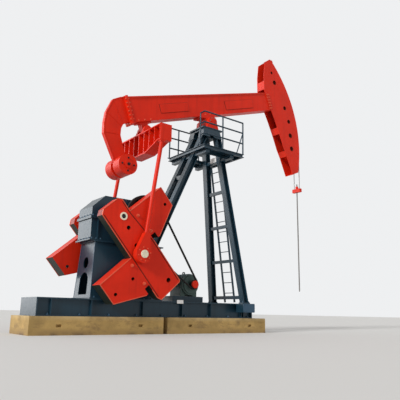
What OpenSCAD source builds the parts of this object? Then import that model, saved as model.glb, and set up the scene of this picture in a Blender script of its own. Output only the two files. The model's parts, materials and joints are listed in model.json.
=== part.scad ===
// Beam pumping unit with crank weights, a tail weight and a service platform.
// X runs along the skid towards the horse head, Y to the far side, Z up, millimetres.
// X = 0 is under the saddle bearing, Y = 0 the middle plane, Z = 0 under the concrete.

/* [Concrete] */
// Rear end of the rear concrete block
concrete_rear_x = -5070; // [-5200:10:-5000]
// Front end of the rear concrete block
concrete_split_x = -1730; // [-1800:10:-1700]
// Gap between the two concrete blocks
concrete_gap = 140; // [60:10:200]
// Front end of the front concrete block
concrete_front_x = 1790; // [1700:10:1900]
// Width of the concrete blocks
concrete_w = 1220; // [1150:10:1400]
// Height of the concrete blocks
concrete_h = 400; // [350:10:450]

/* [Skid] */
// Rear end of the skid
skid_rear_x = -4910; // [-4950:10:-4800]
// Front end of the skid
skid_front_x = 1370; // [1300:10:1500]
// Height of the skid rails
skid_h = 400; // [350:10:450]
// Outer face of the skid rails from the middle plane
skid_half_w = 506; // [490:2:512]
// Width of the rail flanges
rail_flange_w = 180; // [150:10:200]
// Thickness of the rail flanges
rail_flange_t = 28; // [20:2:36]
// Thickness of the rail webs
rail_web_t = 20; // [14:2:28]
// Reach of the outriggers from the middle plane
outrigger_reach = 800; // [795:5:860]

/* [Pedestal] */
// Height of the gearbox pedestal with its plates
pedestal_h = 1365; // [1300:5:1400]
// Rear edge of the pedestal at its foot
pedestal_rear_x = -3670; // [-3720:10:-3620]
// Front face of the pedestal
pedestal_front_x = -1750; // [-1780:10:-1720]
// Half width of the pedestal at its foot
pedestal_foot_half_w = 460; // [440:5:480]
// Half width of the pedestal at its top
pedestal_top_half_w = 373; // [350:5:390]
// Thickness of the pedestal walls
pedestal_wall = 20; // [14:2:30]

/* [Gearbox] */
// Rear end of the gearbox
gearbox_rear_x = -3750; // [-3800:10:-3700]
// Front end of the gearbox
gearbox_front_x = -2050; // [-2080:10:-2030]
// Half width of the gearbox
gearbox_half_w = 400; // [385:5:405]
// Height of the crank shaft over the pedestal
split_h = 555; // [540:5:580]
// Height of the upper case over the split line
upper_case_h = 560; // [500:10:600]
// Centre of the crank shaft along X
crank_x = -3170; // [-3180:5:-3160]

/* [Drive] */
// Radius of the large belt sheave
sheave_r = 550; // [520:5:560]
// Radius of the motor pulley
pulley_r = 120; // [100:5:140]
// Centre of the motor along X
motor_x = -720; // [-740:10:-700]
// Height of the motor shaft over the skid
motor_h = 460; // [440:5:480]
// Radius of the motor body
motor_r = 270; // [240:5:290]
// Thickness of the belts
belt_t = 18; // [12:1:24]

/* [Tower] */
// Height from the skid to the tower head
tower_h = 4780; // [4740:10:4820]
// Foot of the front legs along X
front_foot_x = 893; // [880:1:910]
// Top of the front legs along X
front_top_x = 187; // [177:1:197]
// Foot of the front legs from the middle plane
front_foot_y = 700; // [680:5:705]
// Top of the front legs from the middle plane
front_top_y = 280; // [270:5:290]
// Foot of the rear legs along X
rear_foot_x = -1890; // [-1895:1:-1880]
// Top of the rear legs along X
rear_top_x = -305; // [-310:1:-300]
// Rear legs from the middle plane
rear_leg_y = 215; // [205:1:225]
// Size of the leg section
leg_w = 175; // [160:1:180]
// Thickness of the leg plates
leg_t = 18; // [12:1:24]
// Height of the tower head
head_box_h = 310; // [280:10:330]

/* [Saddle] */
// Height of the saddle shaft over the tower head
bearing_h = 230; // [220:1:240]
// Radius of the saddle shaft
saddle_shaft_r = 70; // [60:1:80]
// Radius of the saddle bearing housings
bearing_r = 150; // [140:1:160]
// Running clearance of the shafts in their bores
running_fit = 0.05; // [0.02:0.01:0.1]

/* [Platform] */
// Top of the platform deck under the saddle shaft
deck_drop = 1030; // [1000:5:1060]
// Depth of the deck frame
deck_h = 100; // [80:5:120]
// Rear edge of the deck
deck_rear_x = -775; // [-820:5:-770]
// Front edge of the deck
deck_front_x = 715; // [690:1:740]
// Half width of the deck
deck_half_w = 892; // [870:1:930]
// Height of the guard rail over the deck
guard_h = 1000; // [950:10:1050]
// Radius of the guard rail tubes
guard_r = 22; // [18:1:26]

/* [Walking beam] */
// Tilt of the beam at rest, head up
beam_deg = 19; // [17:0.5:20]
// Underside of the beam over the saddle shaft
beam_under = 227; // [222:1:235]
// Top of the beam at its rear end
beam_rear_top = 942; // [920:1:960]
// Top of the beam at its front end
beam_front_top = 835; // [820:1:850]
// Rear end of the beam from the saddle
beam_rear_u = -2700; // [-2720:5:-2690]
// How far the beam stops behind the face of the head
beam_front_gap = 1040; // [1020:5:1060]
// Half width of the beam box
beam_half_w = 140; // [130:1:144]
// Half width of the beam flanges
beam_flange_half_w = 165; // [155:1:175]
// Thickness of the beam flanges
beam_flange_t = 30; // [20:1:40]
// Tail bearing from the saddle
tail_u = 2300; // [2290:5:2320]

/* [Tail weight] */
// Tail weight axis along the beam
tail_weight_u = -3292; // [-3300:1:-3285]
// Tail weight axis below the saddle line
tail_weight_w = -897; // [-900:1:-890]
// Radius of the tail weights
tail_weight_r = 270; // [240:5:280]
// Thickness of each tail weight
tail_weight_t = 325; // [250:5:330]
// Half thickness of the tail arm
tail_half_t = 50; // [40:1:52]

/* [Horse head] */
// Radius of the horse head face from the saddle
head_r = 4000; // [3990:1:4010]
// Half width of the horse head
head_half_w = 167; // [165:1:172]
// Thickness of the side plates
head_plate_t = 20; // [16:1:22]
// Thickness of the face plate
head_face_t = 25; // [18:1:30]

/* [Crossbeam and pitmans] */
// Half length of the crossbeam
crossbeam_half_l = 1110; // [1105:5:1130]
// Half width of the crossbeam
crossbeam_half_w = 165; // [150:1:170]
// Top of the crossbeam under the tail bearing
crossbeam_drop = 131; // [128:1:140]
// Depth of the crossbeam in the middle
crossbeam_mid_h = 640; // [600:10:660]
// Depth of the crossbeam at its ends
crossbeam_end_h = 440; // [420:10:460]
// Pitmans from the middle plane
pitman_y = 1040; // [1038:1:1045]
// Radius of the pitman tubes
pitman_r = 50; // [40:1:56]
// Radius of the crank pin housings
housing_r = 215; // [190:5:225]

/* [Cranks] */
// Distance from the crank shaft to the crank pin
crank_r = 1000; // [990:5:1010]
// Direction of the crank pin at rest
crank_deg = -60; // [-60:0.5:-59]
// Direction of the crank arms at rest
arm_deg = -49; // [-49.5:0.5:-48.5]
// Inner face of the crank arms from the middle plane
arm_y0 = 660; // [650:1:670]
// Outer face of the cranks from the middle plane
arm_y1 = 930; // [925:1:935]
// Inner face of the crank weights from the middle plane
weight_y0 = 530; // [528:1:540]
// Reach of each crank weight from the arm
weight_reach = 1000; // [900:10:1010]
// Radius of the crank shaft
crank_shaft_r = 110; // [90:5:120]

/* [Hanger] */
// Radius of the bridle ropes
rope_r = 13; // [10:1:16]
// Ropes from the middle plane
rope_y = 115; // [100:1:125]
// Height of the carrier bar
carrier_z = 4700; // [4600:10:4800]
// Radius of the polished rod
rod_r = 20; // [16:1:24]
// Lower end of the polished rod
rod_end_z = 1270; // [1200:10:1400]

/* [Hidden] */
$fn = 64;
// Round faces over this radius are drawn with the finer count
big_r = 2000;
fine_fn = 720;
// Paint and metal tones
red_paint = [0.79, 0.16, 0.08];
navy_paint = [0.07, 0.17, 0.25];
cream_paint = [0.88, 0.86, 0.78];
motor_paint = [0.16, 0.27, 0.28];
black_iron = [0.05, 0.05, 0.06];
belt_rubber = [0.03, 0.03, 0.03];
rope_steel = [0.35, 0.34, 0.33];
bare_steel = [0.6, 0.6, 0.6];
concrete_tone = [0.72, 0.66, 0.53];
// Gap left where a round piece seats on a round piece
seat_gap = 0.3;
far_reach = 9000;
deck_z = concrete_h + skid_h;
gear_floor_z = deck_z + pedestal_h;
crank_z = gear_floor_z + split_h;
gear_top_z = crank_z + upper_case_h;
head_z0 = deck_z + tower_h;
head_z1 = head_z0 + head_box_h;
saddle_z = head_z1 + bearing_h;
// skid
rail_inner_y = skid_half_w - rail_flange_w;
rail_mid_y = skid_half_w - rail_flange_w / 2;
end_plate_t = 30;
stiffener_t = 20;
stiffener_x = [-4590, -3640, -2277, -1100, -152, 950, 1030];
crossbeam_x = [-4300, -3560, -2700, -1850, -1160, -340, 500, 1000];
skid_crossbeam_w = 120;
outrigger_x0 = front_foot_x - 133;
outrigger_x1 = front_foot_x + 297;
outrigger_h = 240;
outrigger_wall = 20;
lift_slot_x = [-4420, -2380, -900, 1180];
lift_slot_w = 120;
lift_slot_h = 60;
lift_slot_depth = 60;
// pedestal
foot_plate_t = 30;
foot_plate_half_w = 500;
pedestal_lean = 80;
top_plate_half_w = 420;
top_plate_overhang = 60;
window_r = 135;
window_h = 850;
door_w = 450;
door_z0 = 100;
door_h = 295;
// gearbox
input_x = -2300;
input_z = crank_z + 150;
case_flange = 35;
case_flange_t = 32;
rib_t = 24;
rib_x = [-3560, -2780, -2560, -2110];
cap_r = 220;
cap_t = 60;
small_cap_r = 130;
small_cap_t = 22;
idler_x = -2690;
cover_l = 420;
cover_w = 420;
cover_t = 24;
lug_t = 30;
lug_r = 55;
lug_hole_r = 24;
// belt drive
belt_y0 = -512;
belt_y1 = -433;
sheave_y0 = -517;
sheave_y1 = -428;
sheave_rim_t = 50;
sheave_hub_r = 95;
sheave_web_t = 24;
sheave_hole_r = 85;
sheave_hole_pcr = 300;
sheave_holes = 6;
drum_r = 260;
drum_y0 = 428;
drum_y1 = 512;
drum_rim_t = 22;
motor_z = deck_z + motor_h;
motor_half_l = 320;
bell_t = 40;
bell_r = motor_r - 34;
motor_shaft_r = 42;
motor_foot_z = deck_z + 150;
motor_foot_half_y = 250;
motor_foot_t = 30;
motor_foot_half_x = 262;
terminal_half_w = 120;
terminal_h = 210;
terminal_reach = 400;
motor_lug_r = 42;
motor_lug_hole_r = 20;
motor_lug_t = 24;
guard_cap_r = 100;
guard_cap_t = 43;
motor_rail_y = 200;
motor_rail_w = 110;
motor_rail_x0 = -1240;
motor_rail_x1 = -240;
// tower
strut_run = 400;
foot_t = 30;
foot_half = 128;
crossbar_z = [175, 1215, 2225, 3250];
crossbar_half = 45;
crossbar_wall = 14;
rear_tie_z = [2700, 3450, 4200];
rear_tie_h = 110;
rear_tie_half = 40;
ladder_y = 200;
ladder_stringer_t = 20;
ladder_stringer_w = 60;
ladder_z0 = 30;
ladder_z1 = 4100;
rung_r = 12;
rung_pitch = 300;
rungs = 1 + floor((ladder_z1 - ladder_z0 - rung_r) / rung_pitch - 0.9);
bearing_y0 = 190;
bearing_y1 = 310;
bearing_foot_half = 205;
bearing_foot_t = 42;
head_low_x0 = rear_top_x - 105;
head_low_x1 = front_top_x + 98;
head_low_half_w = front_top_y + leg_w / 2 + 10;
head_up_x0 = -350;
head_up_x1 = 235;
head_up_half_w = 325;
head_pocket = 110;
head_rear_pocket_half_w = 120;
head_front_pocket_half_w = 180;
head_pocket_h = 200;
head_slot_x0 = -160;
head_slot_x1 = 10;
head_slot_y = 270;
head_slot_h = 60;
head_plate_x0 = -395;
head_plate_x1 = 335;
head_plate_half_w = 338;
head_top_t = 40;
// platform
deck_top_z = saddle_z - deck_drop;
deck_under_z = deck_top_z - deck_h;
deck_rim_t = 50;
deck_plate_t = 12;
hatch_x0 = -705;
hatch_x1 = 395;
hatch_half_w = 445;
platform_beam_h = 100;
platform_beam_half = 65;
deck_rim_recess = 30;
far_post_x = [deck_rear_x + 25, deck_rear_x + 350, deck_front_x - 350, deck_front_x - 25];
near_post_x = [deck_front_x - 800, deck_front_x - 25];
return_y = 670;
brace_foot = 240;
guard_y = deck_half_w - 27;
guard_rail_z = [330, 660];
// beam
flange_plate_t = 30;
flange_half_w = 180;
flange_over = 33;
head_root = 1270;
beam_front_u = head_r - beam_front_gap;
head_zone_u = head_r - head_root;
pad_t = 12;
front_pad = [[820, 363], [2048, 363], [2048, 638], [820, 638]];
rear_pad = [[-1691, 420], [-673, 420], [-673, 672], [-1691, 672]];
beam_lug_u = [-2050, -1000, 0, 1000, 2050];
beam_lug_l = 80;
beam_lug_h = 42;
beam_lug_t = 30;
seat_half_w = 175;
seat_half_l = 330;
seat_plate_t = 37;
seat_neck = 130;
seat_r = 122;
saddle_shaft_half_l = 322;
tail_rim_half_t = 58;
tail_rim_t = 30;
tail_outer = [
    [beam_rear_u - flange_plate_t / 2, 975], [-2836, 970], [-3076, 921], [-3360, 607],
    [-3493, 342], [-3583, 61], [-3533, -335], [-3482, -690]];
tail_inner = [
    [-3110, -300], [-3112, -60], [-3040, 120], [-2944, 232], [-2800, 262],
    [beam_rear_u - flange_plate_t / 2, 262]];
tail_ribs = [
    [[-3082, 903], [-2960, 240]], [[-3362, 607], [-3013, 190]], [[-3575, 75], [-3107, -42]]];
tail_rib_t = 20;
tail_boss_r = 190;
tail_axle_r = 60;
tail_collar_r = 105;
tail_collar_t = 30;
tail_pin_r = 55;
tail_bracket_half_w = 90;
tail_bracket_half_l = 230;
tail_bracket_plate_t = 40;
tail_bracket_r = 104;
tail_pin_half_l = 205;
tail_housing_y0 = 100;
tail_housing_y1 = 196;
tail_housing_r = 108;
tail_housing_foot = 160;
// horse head
head_plate_y = head_half_w - head_plate_t;
head_top_w = 2012.1;
head_low_w = 2048.2;
head_top_deg = asin(head_top_w / head_r);
head_low_deg = -asin(head_low_w / head_r);
function from_face(points) =
    [for (p = points) [for (i = [0:len(p) - 1]) i == 0 ? head_r - p[0] : p[i]]];
head_outline = from_face([
    [-300, 2120], [620, 1970], [860, 1876], [1064, 1452], [1237, 931], [1220, 842],
    [1137, 227], [1077, -139], [1016, -660], [988, -1088], [930, -1422], [887, -1885],
    [868, -2075], [582, -2038], [-300, -2038]]);
head_holes = from_face([
    [653, 1522, 40], [630, 1171, 70], [433, 244, 62], [396, -244, 62],
    [496, -735, 75], [600, -1192, 75]]);
head_ties = [
    from_face([[1124, 1257], [1219, 970]]),
    from_face([[1043, -386], [1016, -617]]),
    from_face([[960, -1219], [926, -1417]])];
head_tie_t = 20;
head_sole = from_face([[868, -2075], [582, -2038], [582, -2018], [868, -2055]]);
anchor_deg = head_top_deg - 2.2;
anchor_arc = 1.2;
anchor_h = 60;
wrap_deg = anchor_deg + beam_deg;
rope_x = head_r + seat_gap + rope_r;
// crossbeam and pitmans
tail_x = -tail_u * cos(beam_deg);
tail_z = saddle_z - tail_u * sin(beam_deg);
crossbeam_top_z = tail_z - crossbeam_drop;
crossbeam_web_t = 24;
crossbeam_flange_t = 30;
crossbeam_mid_y = 350;
crossbeam_end_y = 950;
crossbeam_rib_y = [-1030, -780, -520, -260, 0, 260, 520, 780, 1030];
pin_x = crank_x + crank_r * cos(crank_deg);
pin_z = crank_z + crank_r * sin(crank_deg);
pitman_top_z = crossbeam_top_z - crossbeam_end_h;
pitman_foot_half = 66;
pitman_foot_t = 40;
housing_y0 = 960;
housing_y1 = 1120;
housing_neck = 520;
pin_cap_r = 95;
pin_cap_t = 30;
// cranks
pin_s = crank_r * cos(crank_deg - arm_deg);
pin_n = crank_r * sin(crank_deg - arm_deg);
arm_left_n = -441;
arm_right_n = 335;
arm_hub_n = 217;
arm_wide_s = 900;
arm_outline = [
    [-420, -330], [-330, arm_left_n], [2080, arm_left_n], [2183, -383], [2183, 300],
    [2140, arm_right_n], [arm_wide_s, arm_right_n], [0, arm_hub_n], [-330, arm_hub_n],
    [-420, 130]];
spare_pin_holes = [[294, -57], [749, -146]];
spare_pin_r = 52;
pull_hole = [1948, 70];
pull_hole_r = 60;
pin_boss_r = 132;
pin_boss_t = 14;
hub_ring_r = 95;
hub_bore_r = 57;
hub_ring_t = 16;
high_weight_s = 0;
low_weight_s = 900;
weight_flat = 550;
weight_l = 945;
weight_tip = 200;
weight_hole_r = 42;
weight_hole_n = [260, 831];
weight_notch_l = 155;
weight_notch_w = 150;
// hanger
carrier_half_l = 165;
carrier_half_w = 55;
carrier_half_h = 60;
clamp_h = 85;
clamp_r = 48;
rod_top = 170;
rod_pin_r = rod_r * 3 / 4;
rod_pin_l = 40;

// frames and helpers
module in_beam()
    translate([0, 0, saddle_z])
        rotate([0, -beam_deg, 0])
            children();

module in_arm()
    translate([crank_x, 0, crank_z])
        rotate([0, -arm_deg, 0])
            children();

module in_front_plane()
    translate([front_foot_x, 0, deck_z])
        rotate([0, -atan2(front_foot_x - front_top_x, tower_h), 0])
            children();

module block(x0, x1, y0, y1, z0, z1)
    translate([x0, y0, z0])
        cube([x1 - x0, y1 - y0, z1 - z0]);

module side_plate(y0, y1)
    translate([0, y1, 0])
        rotate([90, 0, 0])
            linear_extrude(y1 - y0)
                children();

module end_plate(x0, x1)
    translate([x0, 0, 0])
        rotate([90, 0, 90])
            linear_extrude(x1 - x0)
                children();

module disc(x, z, r, y0, y1)
    translate([x, y1, z])
        rotate([90, 0, 0])
            cylinder(h = y1 - y0, r = r, $fn = r > big_r ? fine_fn : $fn);

module both_sides() {
    children();
    mirror([0, 1, 0])
        children();
}

function unit(v) = v / norm(v);
function left_of(v) = [-v[1], v[0]];
function first_dir(p, i) = i > 0 ? unit(p[i] - p[i - 1]) : unit(p[1] - p[0]);
function next_dir(p, i) = i < len(p) - 1 ? unit(p[i + 1] - p[i]) : first_dir(p, i);
function mitre(p, i) = unit(left_of(first_dir(p, i)) + left_of(next_dir(p, i)));
function inset(p, i, t) = p[i] + mitre(p, i) * t / (mitre(p, i) * left_of(next_dir(p, i)));

module band(p, t)
    polygon(concat(p, [for (i = [len(p) - 1:-1:0]) inset(p, i, t)]));

module h_section(w, t) {
    translate([-w / 2, -w / 2])
        square([t, w]);
    translate([w / 2 - t, -w / 2])
        square([t, w]);
    translate([-w / 2, -t / 2])
        square([w, t]);
}

module strut(a, b) {
    run = b - a;
    yaw = atan2(run[1], run[0]);
    pitch = atan2(norm([run[0], run[1]]), run[2]);
    translate(a - unit(run) * strut_run)
        rotate([0, 0, yaw])
            rotate([0, pitch, 0])
                rotate([0, 0, -yaw])
                    linear_extrude(norm(run) + 2 * strut_run)
                        children();
}

module between_z(z0, z1)
    block(-far_reach, far_reach, -far_reach, far_reach, z0, z1);

// foundation and skid
module concrete_block(x0, x1)
    difference() {
        block(x0, x1, -concrete_w / 2, concrete_w / 2, 0, concrete_h);
        both_sides()
            for (x = lift_slot_x)
                if (x > x0 + lift_slot_w && x < x1 - lift_slot_w)
                    block(x - lift_slot_w / 2, x + lift_slot_w / 2,
                        -concrete_w / 2 - 1, lift_slot_depth - concrete_w / 2,
                        concrete_h / 2 - lift_slot_h / 2, concrete_h / 2 + lift_slot_h / 2);
    }

module concrete_rear()
    color(concrete_tone)
        concrete_block(concrete_rear_x, concrete_split_x);

module concrete_front()
    color(concrete_tone)
        concrete_block(concrete_split_x + concrete_gap, concrete_front_x);

module rail() {
    x0 = skid_rear_x + end_plate_t;
    x1 = skid_front_x - end_plate_t;
    block(x0, x1, -skid_half_w, -rail_inner_y, concrete_h, concrete_h + rail_flange_t);
    block(x0, x1, -skid_half_w, -rail_inner_y, deck_z - rail_flange_t, deck_z);
    block(x0, x1, -rail_mid_y - rail_web_t / 2, -rail_mid_y + rail_web_t / 2,
        concrete_h, deck_z);
    for (x = stiffener_x)
        block(x, x + stiffener_t, -skid_half_w, -rail_inner_y, concrete_h, deck_z);
}

module skid_rail_near()
    color(navy_paint)
        rail();

module skid_rail_far()
    color(navy_paint)
        mirror([0, 1, 0])
            rail();

module skid_crossbeams()
    color(navy_paint) {
        block(skid_rear_x, skid_rear_x + end_plate_t, -skid_half_w, skid_half_w,
            concrete_h, deck_z);
        block(skid_front_x - end_plate_t, skid_front_x, -skid_half_w, skid_half_w,
            concrete_h, deck_z);
        for (x = crossbeam_x)
            block(x - skid_crossbeam_w / 2, x + skid_crossbeam_w / 2,
                -rail_inner_y, rail_inner_y, concrete_h, deck_z);
    }

module front_outriggers()
    color(navy_paint)
        both_sides()
            difference() {
                block(outrigger_x0, outrigger_x1, -outrigger_reach, -skid_half_w,
                    deck_z - outrigger_h, deck_z);
                block(outrigger_x0 + outrigger_wall, outrigger_x1 - outrigger_wall,
                    -outrigger_reach - 1, outrigger_wall - skid_half_w - 2 * outrigger_wall,
                    deck_z - outrigger_h + outrigger_wall, deck_z - outrigger_wall);
            }

// pedestal
module pedestal_shell(t, z0, z1) {
    x0 = pedestal_rear_x + t;
    x1 = pedestal_front_x - t;
    y0 = pedestal_foot_half_w - t;
    y1 = pedestal_top_half_w - t;
    intersection() {
        side_plate(-far_reach, far_reach)
            polygon([[x0, z0], [x1, z0], [x1, z1], [x0 + pedestal_lean, z1]]);
        end_plate(-far_reach, far_reach)
            polygon([[-y0, z0], [y0, z0], [y1, z1], [-y1, z1]]);
    }
}

module pedestal() {
    z0 = deck_z + foot_plate_t;
    z1 = gear_floor_z - foot_plate_t;
    door_mid = (pedestal_rear_x + pedestal_front_x) / 2;
    color(navy_paint)
        union() {
            block(pedestal_rear_x - foot_plate_t, pedestal_front_x + foot_plate_t,
                -foot_plate_half_w, foot_plate_half_w, deck_z, z0);
            block(pedestal_rear_x + pedestal_lean - foot_plate_t,
                pedestal_front_x + top_plate_overhang,
                -top_plate_half_w, top_plate_half_w, z1, gear_floor_z);
            difference() {
                pedestal_shell(0, z0, z1);
                pedestal_shell(pedestal_wall, z0 - 1, z1 + 1);
                translate([pedestal_rear_x - foot_plate_t, 0, deck_z + window_h])
                    rotate([0, 90, 0])
                        cylinder(h = -pedestal_rear_x, r = window_r);
                block(pedestal_rear_x - foot_plate_t, door_mid,
                    -door_w / 2, door_w / 2, deck_z + door_z0, deck_z + door_z0 + door_h);
                translate([pedestal_rear_x - foot_plate_t, 0, deck_z + door_z0 + door_h])
                    rotate([0, 90, 0])
                        cylinder(h = door_mid - pedestal_rear_x, r = door_w / 2);
            }
        }
}

// gearbox
module shaft_bore()
    disc(crank_x, crank_z, crank_shaft_r + running_fit, -far_reach, far_reach);

module gearbox_lower_case()
    color(navy_paint)
        difference() {
            union() {
                block(gearbox_rear_x + case_flange, gearbox_front_x - case_flange,
                    -gearbox_half_w + case_flange, gearbox_half_w - case_flange,
                    gear_floor_z, crank_z);
                block(gearbox_rear_x, gearbox_front_x, -gearbox_half_w, gearbox_half_w,
                    crank_z - case_flange_t, crank_z);
                block(gearbox_rear_x, gearbox_front_x, -gearbox_half_w, gearbox_half_w,
                    gear_floor_z, gear_floor_z + case_flange_t);
                for (x = rib_x)
                    block(x, x + rib_t, -gearbox_half_w, gearbox_half_w,
                        gear_floor_z, crank_z);
                intersection() {
                    disc(crank_x, crank_z, cap_r, -gearbox_half_w, gearbox_half_w);
                    between_z(gear_floor_z, crank_z);
                }
                intersection() {
                    disc(idler_x, crank_z, small_cap_r, -gearbox_half_w, gearbox_half_w);
                    between_z(gear_floor_z, crank_z);
                }
            }
            shaft_bore();
        }

module upper_outline()
    polygon([
        [gearbox_rear_x + case_flange, crank_z],
        [gearbox_rear_x + case_flange, crank_z + upper_case_h * 0.45],
        [crank_x - cap_r, gear_top_z],
        [idler_x + small_cap_r, gear_top_z],
        [gearbox_front_x - case_flange, crank_z + upper_case_h * 0.65],
        [gearbox_front_x - case_flange, crank_z]]);

module lifting_lug(x, y)
    side_plate(y - lug_t / 2, y + lug_t / 2)
        difference() {
            union() {
                translate([x, gear_top_z])
                    square([2 * lug_r, 2 * lug_r], center = true);
                translate([x, gear_top_z + lug_r / 2])
                    circle(r = lug_r);
            }
            translate([x, gear_top_z + lug_r / 2])
                circle(r = lug_hole_r);
        }

module gearbox_upper_case()
    color(navy_paint)
        difference() {
            union() {
                side_plate(-gearbox_half_w + case_flange, gearbox_half_w - case_flange)
                    upper_outline();
                block(gearbox_rear_x, gearbox_front_x, -gearbox_half_w, gearbox_half_w,
                    crank_z, crank_z + case_flange_t);
                for (x = [crank_x, idler_x])
                    intersection() {
                        disc(x, crank_z, x == crank_x ? cap_r : small_cap_r,
                            -gearbox_half_w, gearbox_half_w);
                        between_z(crank_z, gear_top_z);
                    }
                disc(input_x, input_z, small_cap_r, -gearbox_half_w, gearbox_half_w);
                block(crank_x, crank_x + cover_l, -cover_w / 2, cover_w / 2,
                    gear_top_z, gear_top_z + cover_t);
            }
            shaft_bore();
        }

module bearing_caps()
    color(navy_paint)
        both_sides()
            difference() {
                union() {
                    disc(crank_x, crank_z, cap_r, -gearbox_half_w - cap_t, -gearbox_half_w);
                    disc(idler_x, crank_z, small_cap_r,
                        -gearbox_half_w - small_cap_t, -gearbox_half_w);
                }
                shaft_bore();
            }

// belt drive
module belt_sheave()
    color(black_iron)
        difference() {
            union() {
                difference() {
                    disc(input_x, input_z, sheave_r, sheave_y0, sheave_y1);
                    disc(input_x, input_z, sheave_r - sheave_rim_t,
                        sheave_y0 - 1, sheave_y1 + 1);
                }
                disc(input_x, input_z, sheave_r - sheave_rim_t / 2,
                    sheave_y1 - sheave_web_t, sheave_y1);
                disc(input_x, input_z, sheave_hub_r, sheave_y0, -gearbox_half_w);
            }
            for (i = [0:sheave_holes - 1])
                disc(input_x + sheave_hole_pcr * cos(i * 360 / sheave_holes),
                    input_z + sheave_hole_pcr * sin(i * 360 / sheave_holes),
                    sheave_hole_r, sheave_y0 - 1, sheave_y1 + 1);
        }

module brake_drum()
    color(black_iron)
        union() {
            difference() {
                disc(input_x, input_z, drum_r, drum_y0, drum_y1);
                disc(input_x, input_z, drum_r - drum_rim_t, drum_y0 + drum_rim_t, drum_y1 + 1);
            }
            disc(input_x, input_z, sheave_hub_r, gearbox_half_w, drum_y1);
        }

module belt_core(e, y0, y1) {
    centre_run = [motor_x - input_x, motor_z - input_z];
    run_deg = atan2(centre_run[1], centre_run[0]);
    wrap = acos((sheave_r - pulley_r) / norm(centre_run));
    big = sheave_r + e;
    small = pulley_r + e;
    disc(input_x, input_z, big, y0, y1);
    disc(motor_x, motor_z, small, y0, y1);
    side_plate(y0, y1)
        polygon([
            [input_x + big * cos(run_deg - wrap), input_z + big * sin(run_deg - wrap)],
            [motor_x + small * cos(run_deg - wrap), motor_z + small * sin(run_deg - wrap)],
            [motor_x + small * cos(run_deg + wrap), motor_z + small * sin(run_deg + wrap)],
            [input_x + big * cos(run_deg + wrap), input_z + big * sin(run_deg + wrap)]]);
}

module drive_belts()
    color(belt_rubber)
        difference() {
            belt_core(belt_t, belt_y0, belt_y1);
            belt_core(seat_gap, belt_y0 - 1, belt_y1 + 1);
        }

module motor_pulley()
    color(black_iron)
        union() {
            disc(motor_x, motor_z, pulley_r, sheave_y0, sheave_y1);
            disc(motor_x, motor_z, motor_shaft_r, sheave_y1, -motor_half_l - bell_t);
        }

module pulley_cap()
    color(red_paint)
        disc(motor_x, motor_z, guard_cap_r, sheave_y0 - guard_cap_t, sheave_y0);

module motor()
    color(motor_paint)
        union() {
            disc(motor_x, motor_z, motor_r, -motor_half_l, motor_half_l);
            disc(motor_x, motor_z, bell_r, -motor_half_l - bell_t, motor_half_l + bell_t);
            difference() {
                block(motor_x - motor_foot_half_x, motor_x + motor_foot_half_x,
                    -motor_foot_half_y, motor_foot_half_y, motor_foot_z, motor_z);
                block(motor_x - motor_foot_half_x / 2, motor_x + motor_foot_half_x / 2,
                    -far_reach, far_reach, motor_foot_z - 1, motor_foot_z + motor_foot_t);
            }
            block(motor_x - terminal_reach, motor_x, -terminal_half_w, terminal_half_w,
                motor_z - terminal_h / 4, motor_z + terminal_h * 3 / 4);
            side_plate(-motor_lug_t / 2, motor_lug_t / 2)
                difference() {
                    union() {
                        translate([motor_x, motor_z + motor_r])
                            square([2 * motor_lug_r, 2 * motor_lug_r], center = true);
                        translate([motor_x, motor_z + motor_r + motor_lug_r])
                            circle(r = motor_lug_r);
                    }
                    translate([motor_x, motor_z + motor_r + motor_lug_r])
                        circle(r = motor_lug_hole_r);
                }
        }

module motor_rails()
    color(navy_paint)
        union() {
            both_sides()
                block(motor_rail_x0, motor_rail_x1, motor_rail_y - motor_rail_w / 2,
                    motor_rail_y + motor_rail_w / 2, deck_z, motor_foot_z);
            for (x = [motor_rail_x0, motor_rail_x1 - motor_rail_w])
                block(x, x + motor_rail_w, -motor_rail_y, motor_rail_y,
                    deck_z, motor_foot_z);
        }

// tower
function front_foot(side) = [front_foot_x, side * front_foot_y, deck_z];
function front_top(side) = [front_top_x, side * front_top_y, head_z0];
function rear_foot(side) = [rear_foot_x, side * rear_leg_y, gear_floor_z];
function rear_top(side) = [rear_top_x, side * rear_leg_y, head_z0];

module front_leg(side) {
    intersection() {
        strut(front_foot(side), front_top(side))
            h_section(leg_w, leg_t);
        between_z(deck_z, head_z0);
    }
    block(front_foot_x - foot_half, front_foot_x + foot_half,
        side * front_foot_y - foot_half + 33, side * front_foot_y + foot_half - 33,
        deck_z, deck_z + foot_t);
}

module rear_leg(side) {
    intersection() {
        strut(rear_foot(side), rear_top(side))
            h_section(leg_w, leg_t);
        between_z(gear_floor_z, head_z0);
    }
    block(rear_foot_x - foot_half, rear_foot_x + foot_half,
        side * rear_leg_y - leg_w / 2 - 10, side * rear_leg_y + leg_w / 2 + 10,
        gear_floor_z, gear_floor_z + foot_t);
}

module front_leg_near()
    color(navy_paint)
        front_leg(-1);

module front_leg_far()
    color(navy_paint)
        front_leg(1);

module rear_leg_near()
    color(navy_paint)
        rear_leg(-1);

module rear_leg_far()
    color(navy_paint)
        rear_leg(1);

module front_crossbars()
    color(navy_paint)
        difference() {
            in_front_plane()
                for (z = crossbar_z) {
                    leg_y = front_foot_y - (front_foot_y - front_top_y) * z / tower_h;
                    difference() {
                        block(-crossbar_half, crossbar_half, -leg_y, leg_y,
                            z - crossbar_half, z + crossbar_half);
                        block(crossbar_wall - crossbar_half, crossbar_half - crossbar_wall,
                            -leg_y - 1, leg_y + 1,
                            z - crossbar_half - 1, z + crossbar_half - crossbar_wall);
                    }
                }
            front_leg(-1);
            front_leg(1);
        }

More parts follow.
